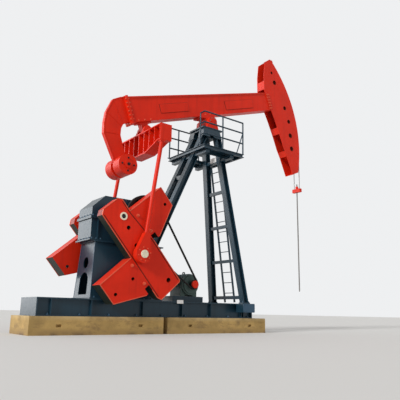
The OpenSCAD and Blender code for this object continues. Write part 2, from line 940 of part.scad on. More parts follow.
module rear_ties()
    color(navy_paint)
        difference() {
            for (z = rear_tie_z) {
                share = (z - gear_floor_z) / (head_z0 - gear_floor_z);
                x = rear_foot_x + (rear_top_x - rear_foot_x) * share;
                block(x - rear_tie_half, x + rear_tie_half, -rear_leg_y, rear_leg_y,
                    z, z + rear_tie_h);
            }
            rear_leg(-1);
            rear_leg(1);
        }

module tower_head() {
    under_top = head_z1 - head_top_t / 2;
    color(navy_paint)
        union() {
            difference() {
                intersection() {
                    side_plate(-head_low_half_w, head_low_half_w)
                        polygon([
                            [head_low_x0, head_z0], [head_low_x1, head_z0],
                            [head_up_x1, under_top], [head_up_x0, under_top]]);
                    end_plate(-far_reach, far_reach)
                        polygon([
                            [-head_low_half_w, head_z0], [head_low_half_w, head_z0],
                            [head_up_half_w, under_top], [-head_up_half_w, under_top]]);
                }
                block(-far_reach, head_up_x0 + head_pocket,
                    -head_rear_pocket_half_w, head_rear_pocket_half_w,
                    head_z0 - 1, head_z0 + head_pocket_h);
                block(head_up_x1 - head_pocket, far_reach,
                    -head_front_pocket_half_w, head_front_pocket_half_w,
                    head_z0 - 1, head_z0 + head_pocket_h);
                both_sides()
                    block(head_slot_x0, head_slot_x1, -far_reach, -head_slot_y,
                        head_z0 - 1, head_z0 + head_slot_h);
            }
            block(head_plate_x0, head_plate_x1, -head_plate_half_w, head_plate_half_w,
                head_z1 - head_top_t, head_z1);
        }
}

module saddle_bearings()
    color(red_paint)
        both_sides()
            difference() {
                union() {
                    disc(0, saddle_z, bearing_r, bearing_y0, bearing_y1);
                    side_plate(bearing_y0, bearing_y1)
                        polygon([
                            [-bearing_foot_half, head_z1], [bearing_foot_half, head_z1],
                            [bearing_foot_half, head_z1 + bearing_foot_t],
                            [bearing_r, saddle_z - bearing_r / 4],
                            [bearing_r, saddle_z],
                            [-bearing_r, saddle_z],
                            [-bearing_r, saddle_z - bearing_r / 4],
                            [-bearing_foot_half, head_z1 + bearing_foot_t]]);
                }
                disc(0, saddle_z, saddle_shaft_r + running_fit,
                    bearing_y0 - 1, bearing_y1 + 1);
            }

module ladder()
    color(navy_paint)
        in_front_plane()
            union() {
                both_sides()
                    block(crossbar_half, crossbar_half + ladder_stringer_w,
                        ladder_y, ladder_y + ladder_stringer_t, ladder_z0, ladder_z1);
                for (i = [0:rungs - 1])
                    translate([crossbar_half + ladder_stringer_w / 2,
                        ladder_y + ladder_stringer_t / 2,
                        ladder_z0 + rung_pitch * (i + 0.9)])
                        rotate([90, 0, 0])
                            cylinder(h = 2 * ladder_y + ladder_stringer_t, r = rung_r, $fn = 24);
            }

// platform
module platform_beams() {
    beam_mid_z = deck_under_z - platform_beam_h / 2;
    front_share = (beam_mid_z - deck_z) / tower_h;
    rear_share = (beam_mid_z - gear_floor_z) / (head_z0 - gear_floor_z);
    front_x = front_foot_x + (front_top_x - front_foot_x) * front_share;
    rear_x = rear_foot_x + (rear_top_x - rear_foot_x) * rear_share;
    color(navy_paint)
        difference() {
            for (x = [front_x, rear_x])
                block(x - platform_beam_half, x + platform_beam_half,
                    -deck_half_w + deck_rim_t, deck_half_w - deck_rim_t,
                    deck_under_z - platform_beam_h, deck_under_z);
            for (side = [-1, 1]) {
                front_leg(side);
                rear_leg(side);
            }
        }
}

module platform_deck()
    color(navy_paint)
        difference() {
            block(deck_rear_x, deck_front_x, -deck_half_w, deck_half_w,
                deck_under_z, deck_top_z);
            block(hatch_x0, hatch_x1, -hatch_half_w, hatch_half_w,
                deck_under_z - 1, deck_top_z + 1);
            difference() {
                block(deck_rear_x - 1, deck_front_x + 1, -deck_half_w - 1, deck_half_w + 1,
                    deck_under_z + deck_plate_t, deck_top_z - deck_plate_t);
                block(deck_rear_x + deck_rim_recess, deck_front_x - deck_rim_recess,
                    -deck_half_w + deck_rim_recess, deck_half_w - deck_rim_recess,
                    deck_under_z, deck_top_z);
            }
            both_sides()
                block(deck_rear_x + deck_rim_t, deck_front_x - deck_rim_t,
                    hatch_half_w + deck_rim_t, deck_half_w - deck_rim_t,
                    deck_under_z - 1, deck_top_z - deck_plate_t);
            block(hatch_x1 + deck_rim_t, deck_front_x - deck_rim_t,
                -hatch_half_w, hatch_half_w, deck_under_z - 1, deck_top_z - deck_plate_t);
        }

module guard_post(x, y)
    translate([x, y, deck_top_z])
        cylinder(h = guard_h - guard_r, r = guard_r);

module guard_knob(x, y, z)
    translate([x, y, deck_top_z + z])
        sphere(r = guard_r);

module guard_run(x0, x1)
    for (z = concat(guard_rail_z, [guard_h - guard_r]))
        translate([x0, -guard_y, deck_top_z + z])
            rotate([0, 90, 0])
                cylinder(h = x1 - x0, r = guard_r);

module guard_rail_near() {
    corner_x = far_post_x[0];
    end_x = near_post_x[1];
    color(navy_paint)
        union() {
            for (x = near_post_x)
                guard_post(x, -guard_y);
            guard_post(corner_x, -return_y);
            guard_run(corner_x, end_x);
            for (z = concat(guard_rail_z, [guard_h - guard_r])) {
                translate([corner_x, -return_y, deck_top_z + z])
                    rotate([90, 0, 0])
                        cylinder(h = guard_y - return_y, r = guard_r);
                guard_knob(corner_x, -guard_y, z);
            }
            guard_knob(corner_x, -return_y, guard_h - guard_r);
            guard_knob(end_x, -guard_y, guard_h - guard_r);
            intersection() {
                strut([end_x - brace_foot, -guard_y, deck_top_z],
                    [end_x, -guard_y, deck_top_z + guard_rail_z[1]])
                    circle(r = guard_r * 0.7);
                between_z(deck_top_z, deck_top_z + guard_rail_z[1]);
            }
        }
}

module guard_rail_far()
    color(navy_paint)
        mirror([0, 1, 0])
            union() {
                for (x = far_post_x)
                    guard_post(x, -guard_y);
                guard_run(far_post_x[0], far_post_x[3]);
                guard_knob(far_post_x[0], -guard_y, guard_h - guard_r);
                guard_knob(far_post_x[3], -guard_y, guard_h - guard_r);
            }

// walking beam
function beam_top(u) = beam_rear_top
    + (beam_front_top - beam_rear_top) * (u - beam_rear_u) / (beam_front_u - beam_rear_u);

module beam_slice(u0, u1, low0, high0, low1, high1)
    polygon([[u0, low0], [u1, low1], [u1, high1], [u0, high0]]);

module walking_beam()
    color(red_paint)
        in_beam()
            union() {
                side_plate(-beam_half_w, beam_half_w)
                    beam_slice(beam_rear_u, beam_front_u, beam_under, beam_top(beam_rear_u),
                        beam_under, beam_top(beam_front_u));
                side_plate(-beam_flange_half_w, beam_flange_half_w)
                    beam_slice(beam_rear_u, head_zone_u, beam_under,
                        beam_under + beam_flange_t, beam_under, beam_under + beam_flange_t);
                side_plate(-beam_flange_half_w, beam_flange_half_w)
                    beam_slice(beam_rear_u, head_zone_u,
                        beam_top(beam_rear_u) - beam_flange_t, beam_top(beam_rear_u),
                        beam_top(head_zone_u) - beam_flange_t, beam_top(head_zone_u));
                side_plate(-head_plate_y, head_plate_y)
                    beam_slice(head_zone_u, beam_front_u, beam_under, beam_top(head_zone_u),
                        beam_under, beam_top(beam_front_u));
                side_plate(-beam_half_w - pad_t, beam_half_w + pad_t)
                    polygon(front_pad);
                side_plate(-beam_half_w - pad_t, beam_half_w + pad_t)
                    polygon(rear_pad);
                block(beam_rear_u, beam_rear_u + flange_plate_t, -flange_half_w, flange_half_w,
                    beam_under - flange_over, beam_rear_top + flange_over);
                for (u = beam_lug_u)
                    block(u - beam_lug_l / 2, u + beam_lug_l / 2,
                        -beam_lug_t / 2, beam_lug_t / 2,
                        beam_top(u) - beam_flange_t, beam_top(u) + beam_lug_h);
            }

module saddle_seat()
    color(red_paint)
        in_beam()
            union() {
                disc(0, 0, saddle_shaft_r, -saddle_shaft_half_l, saddle_shaft_half_l);
                disc(0, 0, seat_r, -seat_half_w, seat_half_w);
                side_plate(-seat_half_w, seat_half_w)
                    polygon([
                        [-seat_half_l, beam_under], [-seat_half_l, beam_under - seat_plate_t],
                        [-seat_neck, beam_under - 2 * seat_plate_t], [-seat_r, 0],
                        [seat_r, 0], [seat_neck, beam_under - 2 * seat_plate_t],
                        [seat_half_l, beam_under - seat_plate_t], [seat_half_l, beam_under]]);
            }

module tail_profile()
    polygon(concat(tail_outer,
        [[tail_weight_u - tail_boss_r * 0.9, tail_weight_w],
        [tail_weight_u + tail_boss_r * 0.9, tail_weight_w]],
        tail_inner));

module tail_arm()
    color(red_paint)
        in_beam()
            difference() {
                union() {
                    side_plate(-tail_half_t, tail_half_t)
                        tail_profile();
                    intersection() {
                        side_plate(-tail_rim_half_t, tail_rim_half_t)
                            tail_profile();
                        side_plate(-tail_rim_half_t, tail_rim_half_t)
                            for (rib = tail_ribs)
                                band(rib, tail_rib_t);
                    }
                    side_plate(-tail_rim_half_t, tail_rim_half_t)
                        band(tail_outer, tail_rim_t);
                    side_plate(-tail_rim_half_t, tail_rim_half_t)
                        band(tail_inner, tail_rim_t);
                    disc(tail_weight_u, tail_weight_w, tail_boss_r, -tail_half_t, tail_half_t);
                    block(beam_rear_u - flange_plate_t, beam_rear_u,
                        -flange_half_w, flange_half_w,
                        beam_under - flange_over, beam_rear_top + flange_over);
                }
                disc(tail_weight_u, tail_weight_w, tail_axle_r + seat_gap,
                    -tail_half_t - 1, tail_half_t + 1);
                both_sides()
                    disc(tail_weight_u, tail_weight_w, tail_weight_r + 2 * tail_rim_t,
                        tail_half_t, tail_rim_half_t + 1);
            }

module tail_weights()
    color(red_paint)
        in_beam()
            union() {
                both_sides()
                    disc(tail_weight_u, tail_weight_w, tail_weight_r,
                        tail_half_t, tail_half_t + tail_weight_t);
                disc(tail_weight_u, tail_weight_w, tail_axle_r, -tail_half_t, tail_half_t);
                both_sides()
                    disc(tail_weight_u, tail_weight_w, tail_collar_r,
                        tail_half_t + tail_weight_t,
                        tail_half_t + tail_weight_t + tail_collar_t);
            }

module tail_bearing_bracket()
    color(red_paint)
        in_beam()
            union() {
                disc(-tail_u, 0, tail_pin_r, -tail_pin_half_l, tail_pin_half_l);
                disc(-tail_u, 0, tail_bracket_r, -tail_bracket_half_w, tail_bracket_half_w);
                block(-tail_u - tail_bracket_r, -tail_u + tail_bracket_r,
                    -tail_bracket_half_w, tail_bracket_half_w, 0, beam_under);
                block(-tail_u - tail_bracket_half_l, -tail_u + tail_bracket_half_l,
                    -tail_bracket_half_w, tail_bracket_half_w,
                    beam_under - tail_bracket_plate_t, beam_under);
            }

// horse head
module head_side()
    difference() {
        intersection() {
            side_plate(-head_half_w, -head_plate_y)
                polygon(head_outline);
            disc(0, 0, head_r, -far_reach, far_reach);
        }
        for (h = head_holes)
            disc(h[0], h[1], h[2], -head_half_w - 1, 1 - head_plate_y);
    }

module head_plate_near()
    color(red_paint)
        in_beam()
            head_side();

module head_plate_far()
    color(red_paint)
        in_beam()
            mirror([0, 1, 0])
                head_side();

module head_face()
    color(red_paint)
        in_beam()
            union() {
                intersection() {
                    difference() {
                        disc(0, 0, head_r, -head_plate_y, head_plate_y);
                        disc(0, 0, head_r - head_face_t, -far_reach, far_reach);
                    }
                    side_plate(-far_reach, far_reach)
                        polygon([[0, 0],
                            [2 * head_r * cos(head_low_deg), 2 * head_r * sin(head_low_deg)],
                            [2 * head_r * cos(head_top_deg), 2 * head_r * sin(head_top_deg)]]);
                }
                intersection() {
                    disc(0, 0, head_r + anchor_h, -head_plate_y, head_plate_y);
                    difference() {
                        side_plate(-far_reach, far_reach)
                            polygon([[0, 0],
                                2 * head_r * [cos(anchor_deg), sin(anchor_deg)],
                                2 * head_r * [cos(anchor_deg + anchor_arc),
                                sin(anchor_deg + anchor_arc)]]);
                        disc(0, 0, head_r - head_face_t / 2, -far_reach, far_reach);
                    }
                }
                side_plate(-head_plate_y, head_plate_y)
                    for (tie = head_ties)
                        band(tie, head_tie_t);
                side_plate(-head_plate_y, head_plate_y)
                    polygon(head_sole);
            }

module bridle_wrap()
    color(rope_steel)
        both_sides()
            translate([0, rope_y, saddle_z])
                rotate([90, 0, 0])
                    rotate_extrude(angle = wrap_deg, $fn = 180)
                        translate([rope_x, 0])
                            circle(r = rope_r, $fn = 24);

// crossbeam and pitmans
function crossbeam_low() = [
    [-crossbeam_half_l, crossbeam_top_z - crossbeam_end_h],
    [-crossbeam_end_y, crossbeam_top_z - crossbeam_end_h],
    [-crossbeam_mid_y, crossbeam_top_z - crossbeam_mid_h],
    [crossbeam_mid_y, crossbeam_top_z - crossbeam_mid_h],
    [crossbeam_end_y, crossbeam_top_z - crossbeam_end_h],
    [crossbeam_half_l, crossbeam_top_z - crossbeam_end_h]];

module crossbeam_face()
    polygon(concat(crossbeam_low(), [
        [crossbeam_half_l, crossbeam_top_z], [-crossbeam_half_l, crossbeam_top_z]]));

module crossbeam()
    color(red_paint)
        union() {
            end_plate(tail_x - crossbeam_web_t / 2, tail_x + crossbeam_web_t / 2)
                crossbeam_face();
            end_plate(tail_x - crossbeam_half_w, tail_x + crossbeam_half_w)
                band(crossbeam_low(), crossbeam_flange_t);
            block(tail_x - crossbeam_half_w, tail_x + crossbeam_half_w,
                -crossbeam_half_l, crossbeam_half_l,
                crossbeam_top_z - crossbeam_flange_t, crossbeam_top_z);
            intersection() {
                end_plate(tail_x - crossbeam_half_w, tail_x + crossbeam_half_w)
                    crossbeam_face();
                union() {
                    for (y = crossbeam_rib_y)
                        translate([0, y, 0])
                            block(tail_x - crossbeam_half_w + 8, tail_x + crossbeam_half_w - 8,
                                -crossbeam_web_t / 2, crossbeam_web_t / 2, 0, far_reach);
                    both_sides()
                        block(tail_x - crossbeam_half_w, tail_x + crossbeam_half_w,
                            crossbeam_half_l - crossbeam_flange_t, crossbeam_half_l,
                            0, far_reach);
                }
            }
        }

module tail_bearing_housings()
    color(red_paint)
        both_sides()
            difference() {
                union() {
                    disc(tail_x, tail_z, tail_housing_r, tail_housing_y0, tail_housing_y1);
                    side_plate(tail_housing_y0, tail_housing_y1)
                        polygon([
                            [tail_x - tail_housing_foot, crossbeam_top_z],
                            [tail_x + tail_housing_foot, crossbeam_top_z],
                            [tail_x + tail_housing_r, tail_z],
                            [tail_x - tail_housing_r, tail_z]]);
                }
                disc(tail_x, tail_z, tail_pin_r + running_fit,
                    tail_housing_y0 - 1, tail_housing_y1 + 1);
            }

module pitman() {
    low = [pin_x, -pitman_y, pin_z];
    high = [tail_x, -pitman_y, tail_z];
    lean = (high[0] - low[0]) / (high[2] - low[2]);
    foot_x = low[0] + lean * (pitman_top_z - low[2]);
    union() {
        intersection() {
            strut(low, high)
                circle(r = pitman_r);
            between_z(pin_z, pitman_top_z);
        }
        block(foot_x - pitman_foot_half, foot_x + pitman_foot_half,
            -pitman_y - pitman_foot_half, -pitman_y + pitman_foot_half,
            pitman_top_z - pitman_foot_t, pitman_top_z);
        disc(pin_x, pin_z, housing_r, -housing_y1, -housing_y0);
        side_plate(-housing_y1, -housing_y0)
            polygon([
                [pin_x - housing_r * 0.97, pin_z + housing_r * 0.24],
                [pin_x + housing_r * 0.97, pin_z - housing_r * 0.24],
                [pin_x + lean * housing_neck + pitman_r * 1.2, pin_z + housing_neck],
                [pin_x + lean * housing_neck - pitman_r * 1.2, pin_z + housing_neck]]);
    }
}

module pitman_near()
    color(red_paint)
        pitman();

module pitman_far()
    color(red_paint)
        mirror([0, 1, 0])
            pitman();

module crank_pin_caps()
    color(cream_paint)
        both_sides()
            disc(pin_x, pin_z, pin_cap_r, housing_y1, housing_y1 + pin_cap_t);

// cranks
module crank_shaft()
    color(bare_steel)
        disc(crank_x, crank_z, crank_shaft_r, -arm_y0, arm_y0);

module crank_arm()
    in_arm()
        difference() {
            union() {
                side_plate(-arm_y1, -arm_y0)
                    polygon(arm_outline);
                disc(pin_s, pin_n, pin_boss_r, -arm_y1 - pin_boss_t, -arm_y0);
            }
            for (h = spare_pin_holes)
                disc(h[0], h[1], spare_pin_r, -arm_y1 - 1, -arm_y0 + 1);
            disc(pull_hole[0], pull_hole[1], pull_hole_r, -arm_y1 - 1, -arm_y0 + 1);
        }

module crank_near()
    color(red_paint)
        crank_arm();

module crank_far()
    color(red_paint)
        mirror([0, 1, 0])
            crank_arm();

module hub_rings()
    color(cream_paint)
        both_sides()
            difference() {
                disc(crank_x, crank_z, hub_ring_r, arm_y1, arm_y1 + hub_ring_t);
                disc(crank_x, crank_z, hub_bore_r, arm_y1 - 1, arm_y1 + hub_ring_t + 1);
            }

function arm_edge(s) = s >= arm_wide_s ? arm_right_n
    : arm_hub_n + (arm_right_n - arm_hub_n) * s / arm_wide_s;

// One weight: start is its upper edge along the arm, right tells the arm side
module weight(start, right) {
    stop = start + weight_l;
    knee = min(max(start, arm_wide_s), stop);
    outer = right ? arm_right_n + weight_reach : arm_left_n - weight_reach;
    tip = right ? arm_right_n + weight_tip : arm_left_n - weight_tip;
    edge = right ? [[stop, arm_edge(stop)], [knee, arm_edge(knee)], [start, arm_edge(start)]]
        : [[stop, arm_left_n], [start, arm_left_n]];
    way = right ? 1 : -1;
    side_n = right ? arm_edge(stop) : arm_left_n;
    in_arm()
        side_plate(-arm_y1, -weight_y0)
            difference() {
                polygon(concat([[start, outer], [start + weight_flat, outer], [stop, tip]],
                    edge));
                for (n = weight_hole_n)
                    translate([start + weight_flat * 0.75, side_n + way * n])
                        circle(r = weight_hole_r);
                translate([stop - weight_notch_l, right ? side_n : side_n - weight_notch_w])
                    square([weight_notch_l + 1, weight_notch_w]);
            }
}

module crank_weights_near()
    color(red_paint) {
        weight(high_weight_s, true);
        weight(low_weight_s, false);
    }

module crank_weights_far()
    color(red_paint)
        mirror([0, 1, 0]) {
            weight(high_weight_s, false);
            weight(low_weight_s, true);
        }

// hanger
module bridle_ropes()
    color(rope_steel)
        both_sides()
            translate([rope_x, rope_y, carrier_z + carrier_half_h])
                cylinder(h = saddle_z - carrier_z - carrier_half_h, r = rope_r, $fn = 24);

module carrier_bar()
    color(red_paint)
        difference() {
            union() {
                block(rope_x - carrier_half_w, rope_x + carrier_half_w,
                    -carrier_half_l, carrier_half_l,
                    carrier_z - carrier_half_h, carrier_z + carrier_half_h);
                translate([rope_x, 0, carrier_z])
                    cylinder(h = carrier_half_h + clamp_h, r = clamp_r);
            }
            translate([rope_x, 0, 0])
                cylinder(h = far_reach, r = rod_r + seat_gap);
        }

module polished_rod()
    color(bare_steel)
        union() {
            translate([rope_x, 0, rod_end_z])
                cylinder(h = rod_pin_l + 1, r = rod_pin_r);
            translate([rope_x, 0, rod_end_z + rod_pin_l])
                cylinder(h = carrier_z + carrier_half_h + rod_top - rod_end_z - rod_pin_l,
                    r = rod_r);
        }

concrete_rear();
concrete_front();
skid_rail_near();
skid_rail_far();
skid_crossbeams();
front_outriggers();
pedestal();
gearbox_lower_case();
gearbox_upper_case();
bearing_caps();
belt_sheave();
brake_drum();
motor();
motor_rails();
motor_pulley();
pulley_cap();
drive_belts();
front_leg_near();
front_leg_far();
rear_leg_near();
rear_leg_far();
front_crossbars();
rear_ties();
tower_head();
saddle_bearings();
ladder();
platform_beams();
platform_deck();
guard_rail_near();
guard_rail_far();
walking_beam();
saddle_seat();
tail_arm();
tail_weights();
tail_bearing_bracket();
head_plate_near();
head_plate_far();
head_face();
bridle_wrap();
crossbeam();
tail_bearing_housings();
pitman_near();
pitman_far();
crank_pin_caps();
crank_shaft();
crank_near();
crank_far();
crank_weights_near();
crank_weights_far();
hub_rings();
bridle_ropes();
carrier_bar();
polished_rod();
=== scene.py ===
"""Dresses the beam pumping unit: paint, fasteners, belts, wire ropes, deck plate and stage."""

import json
from math import acos, asin, atan2, cos, pi, radians, sin

import bmesh
import bpy
from bpy.types import Operator, Panel, PropertyGroup
from mathutils import Matrix, Vector


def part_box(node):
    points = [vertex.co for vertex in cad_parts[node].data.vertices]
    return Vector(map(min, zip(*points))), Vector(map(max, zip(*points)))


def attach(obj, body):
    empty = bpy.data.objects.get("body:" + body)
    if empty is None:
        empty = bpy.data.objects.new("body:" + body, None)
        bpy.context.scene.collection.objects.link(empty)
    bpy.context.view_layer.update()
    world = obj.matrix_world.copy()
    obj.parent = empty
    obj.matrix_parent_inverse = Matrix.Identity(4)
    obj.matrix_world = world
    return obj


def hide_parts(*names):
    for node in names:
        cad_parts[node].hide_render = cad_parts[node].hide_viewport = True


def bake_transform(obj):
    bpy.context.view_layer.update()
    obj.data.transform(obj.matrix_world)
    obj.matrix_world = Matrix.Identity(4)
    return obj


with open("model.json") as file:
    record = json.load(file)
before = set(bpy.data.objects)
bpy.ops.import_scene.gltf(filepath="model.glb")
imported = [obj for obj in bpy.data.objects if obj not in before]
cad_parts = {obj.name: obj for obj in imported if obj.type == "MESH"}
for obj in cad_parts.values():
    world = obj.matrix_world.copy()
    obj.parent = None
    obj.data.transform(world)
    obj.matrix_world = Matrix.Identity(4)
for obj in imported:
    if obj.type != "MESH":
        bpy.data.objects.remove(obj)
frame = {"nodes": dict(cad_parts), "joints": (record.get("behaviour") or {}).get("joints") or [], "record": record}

bl_info = {
    "name": "Beam pumping unit",
    "version": (1, 0, 0),
    "blender": (4, 5, 0),
    "location": "View3D > Sidebar > Pumping unit",
    "description": "Finishes the packed frame of a beam pumping unit",
    "category": "Object",
}

JOINTS = {joint["name"]: joint for joint in frame["joints"]}
SADDLE, CRANK, TAIL = (
    Vector(JOINTS[name]["pos_m"]) for name in ("beam_rock", "crank_turn", "link_swing"))
BEAM_TILT = atan2(SADDLE.z - TAIL.z, SADDLE.x - TAIL.x)
ARM_TILT = radians(-49.0)
SIDES = (-1, 1)
UP = Vector((0, 0, 1))

# Sizes that the boxes of the frame don't give, in metres. The arm's frame runs along a crank
# (s) and across it (n), the beam's frame along the beam (u) and over it (w).
ARM_FACE = 0.93
ARM_LOW, ARM_HIGH, ARM_HUB = -0.441, 0.335, 0.217
ARM_HUB_CORNERS = ((-0.33, ARM_HUB), (-0.42, 0.13), (-0.42, -0.33), (-0.33, ARM_LOW))
ARM_TIP_CORNERS = ((2.08, ARM_LOW), (2.183, -0.383), (2.183, 0.3), (2.14, ARM_HIGH))
# lines where the arm meets its weights; dark beads along them paint the shadow of the step
ARM_JOINTS = (((-0.3, 0.19), (0.0, 0.19), (0.9, 0.3), (2.12, 0.3)), ((-0.3, -0.41), (2.07, -0.41)))
WEIGHT_REACH, WEIGHT_FLAT, WEIGHT_LENGTH, WEIGHT_TIP = 1.0, 0.55, 0.945, 0.2
# where the lower and the upper weight start along the arm, near and far side
WEIGHT_STARTS = {-1: (0.9, 0.0), 1: (0.0, 0.9)}
WEIGHT_BOLTS = {-1: ((0.2, 0.33), (0.7, 0.4), (1.05, -0.53), (1.58, -0.53)),
                1: ((0.2, -0.53), (0.7, -0.53), (1.05, 0.42), (1.58, 0.42))}
BEAM_FACE, BEAM_FOOT = 0.14, 0.257
TAIL_AXLE = (-3.292, 0, -0.897)
# holes of the horse head: behind its face, over the beam's axis, radius
HEAD_HOLES = ((0.653, 1.522, 0.04), (0.63, 1.171, 0.07), (0.433, 0.244, 0.062),
              (0.396, -0.244, 0.062), (0.496, -0.735, 0.075), (0.6, -1.192, 0.075))
# turned profiles: share of the radius, added radius, height out of the face
CUP_PROFILE = (
    (0.02, 0, -0.05), (0.9, -0.004, -0.05), (1, -0.004, -0.04), (1, -0.004, 0.003),
    (1, -0.001, 0.005), (1, 0.006, 0.005), (1, 0.009, 0.003), (1, 0.009, 0),
    (1, -0.001, -0.001), (1, -0.001, -0.055), (0.02, 0, -0.055))
END_PLATE_PROFILE = ((0.3, 0, 0.004), (0.42, 0, 0.004), (0.5, 0, 0.01), (0.9, 0, 0.01),
                     (1, 0, 0.006), (1, 0, 0))

CAMERA_PLACE = (-8.664, -11.068, 0.537)
CAMERA_RIGHT = (0.7917, -0.6106, 0.0187)
CAMERA_AHEAD = (0.5920, 0.7744, 0.2232)
SUN_FROM = (-0.9, -0.25, 0.45)
SHEEN_FROM = (-0.62, 0.74, 0.2)
BACKDROP = (0.86, 0.87, 0.88, 1)

# these nodes take the red paint with painted shade on their downward and side faces
WEIGHT_NODES = ("crank_near", "crank_far", "crank_weights_near", "crank_weights_far")
# finishes of the CAD nodes whose slot in the record has another name
NODE_FINISHES = {**dict.fromkeys(WEIGHT_NODES, "weight_paint_and_shade"), "polished_rod": "rod_steel"}
# finishes that this script has made, by name
FINISHES = {}


# Places in the part's own frames

def tilted(origin, tilt, along, y, across):
    """Point of a frame that is tilted about an axis along Y."""
    return Vector((origin.x + along * cos(tilt) - across * sin(tilt), y,
                   origin.z + along * sin(tilt) + across * cos(tilt)))


def on_beam(u, y, w):
    """Point of the beam's own frame, along the beam, across it and over it."""
    return tilted(SADDLE, BEAM_TILT, u, y, w)


def beam_dir(u, w):
    """Direction given in the beam's own frame."""
    return on_beam(u, 0, w) - on_beam(0, 0, 0)


def on_arm(s, y, n):
    """Point of the crank arm's own frame, along the arm and across it."""
    return tilted(CRANK, ARM_TILT, s, y, n)


def middle(node):
    """Middle of a node's box."""
    low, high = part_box(node)
    return (low + high) / 2


def arc(centre, radius, y, start, sweep, steps):
    """Points on an arc about an axis along Y, with both of its ends."""
    angles = [start + sweep * i / steps for i in range(steps + 1)]
    return [Vector((centre[0] + radius * cos(angle), y,
                    centre[2] + radius * sin(angle))) for angle in angles]


def ring(centre, radius, count, y, start=0.0):
    """Points on a circle about an axis along Y."""
    return arc(centre, radius, y, start, 2 * pi, count)[:-1]


def spread(low, high, count):
    """Even places from low to high."""
    return [low + (high - low) * i / (count - 1) for i in range(count)]


def both(*values):
    """The values on the near and on the far side."""
    return [side * value for side in SIDES for value in values]


def pairs(path):
    """Neighbouring points of a path, two by two."""
    return list(zip(path, path[1:]))


def upright(xs, ys, zs):
    """(place, aim) pairs that look up, at every crossing of the given lines."""
    return [((x, y, z), UP) for x in xs for y in ys for z in zs]


def facing(centre, radius, count, y, start=0.0):
    """(place, aim) pairs on a circle on the near and the far side, looking outwards."""
    return [(spot, Vector((0, side, 0))) for side in SIDES
            for spot in ring(centre, radius, count, side * y, start)]


def crank_edges(side):
    """Outer corners of a crank and its weights, as three lines in the arm's frame."""
    lower, upper = WEIGHT_STARTS[side]
    low, high = ARM_LOW - WEIGHT_REACH, ARM_HIGH + WEIGHT_REACH
    length, gap = WEIGHT_LENGTH, 0.001
    shoulder = ((upper, ARM_HIGH),) if upper else ()
    return (((-0.33, ARM_LOW), (lower, ARM_LOW), (lower, low), (lower + WEIGHT_FLAT, low),
             (lower + length, ARM_LOW - WEIGHT_TIP)),
            ((lower + length + gap, ARM_LOW), *ARM_TIP_CORNERS, (upper + length + gap, ARM_HIGH)),
            ((upper + length, ARM_HIGH + WEIGHT_TIP), (upper + WEIGHT_FLAT, high),
             (upper, high), *shoulder, (0.0, ARM_HUB), *ARM_HUB_CORNERS))


# Node trees

FLOAT, COLOUR, VECTOR = "NodeSocketFloat", "NodeSocketColor", "NodeSocketVector"
INTEGER, GEOMETRY, MATERIAL = "NodeSocketInt", "NodeSocketGeometry", "NodeSocketMaterial"


def feed(tree, node, inputs):
    """Sets inputs of a node from values, sockets or nodes, which give their first output."""
    for key, value in inputs.items():
        if isinstance(value, bpy.types.Node):
            value = value.outputs[0]
        if isinstance(value, bpy.types.NodeSocket):
            tree.links.new(value, node.inputs[key])
        else:
            node.inputs[key].default_value = value


def add(tree, kind, inputs=None, **settings):
    """New node with its settings and inputs."""
    node = tree.nodes.new(kind)
    for key, value in settings.items():
        setattr(node, key, value)
    feed(tree, node, inputs or {})
    return node


def new_tree(kind, name, inputs, outputs):
    """Empty tree with named sockets: the tree, what it is given, and its output node."""
    tree = bpy.data.node_groups.new(name, kind)
    for way, sockets in (("INPUT", inputs), ("OUTPUT", outputs)):
        for label, socket in sockets.items():
            tree.interface.new_socket(label, in_out=way, socket_type=socket)
    return tree, tree.nodes.new("NodeGroupInput").outputs, tree.nodes.new("NodeGroupOutput")


def maths(tree, operation, first, second=0.0):
    """Sum, product or another operation on one or two numbers."""
    return add(tree, "ShaderNodeMath", {0: first, 1: second}, operation=operation)


def product(tree, first, *others):
    """Product of numbers."""
    for other in others:
        first = maths(tree, "MULTIPLY", first, other)
    return first


def vector(tree, **parts):
    """Vector from its X, Y and Z."""
    return add(tree, "ShaderNodeCombineXYZ", parts)


def noise(tree, place, scale, detail=4.0, roughness=0.6):
    """Fractal noise."""
    return add(tree, "ShaderNodeTexNoise", {
        "Vector": place, "Scale": scale, "Detail": detail, "Roughness": roughness})


def stretched(tree, place, scale):
    """Place with each axis scaled by its own factor."""
    return add(tree, "ShaderNodeMapping", {"Vector": place, "Scale": scale})


def remap(tree, value, low, high, to_low=0.0, to_high=1.0):
    """Value of low to high, taken to to_low to to_high."""
    return add(tree, "ShaderNodeMapRange", {
        "Value": value, "From Min": low, "From Max": high, "To Min": to_low, "To Max": to_high})


def mixed(tree, factor, first, second, blend="MIX"):
    """Colour between two colours."""
    return add(tree, "ShaderNodeMix", {0: factor, 6: first, 7: second}, data_type="RGBA",
               blend_type=blend).outputs[2]


def toned(tree, colour, tone):
    """Colour made brighter or darker."""
    return add(tree, "ShaderNodeHueSaturation", {"Color": colour, "Value": tone})


def surface_place(tree, split):
    """Object coordinates, and the parts of what split names: Object or Normal."""
    place = add(tree, "ShaderNodeTexCoord").outputs
    parts = add(tree, "ShaderNodeSeparateXYZ", {"Vector": place[split]}).outputs
    return place["Object"], parts


# Finishes

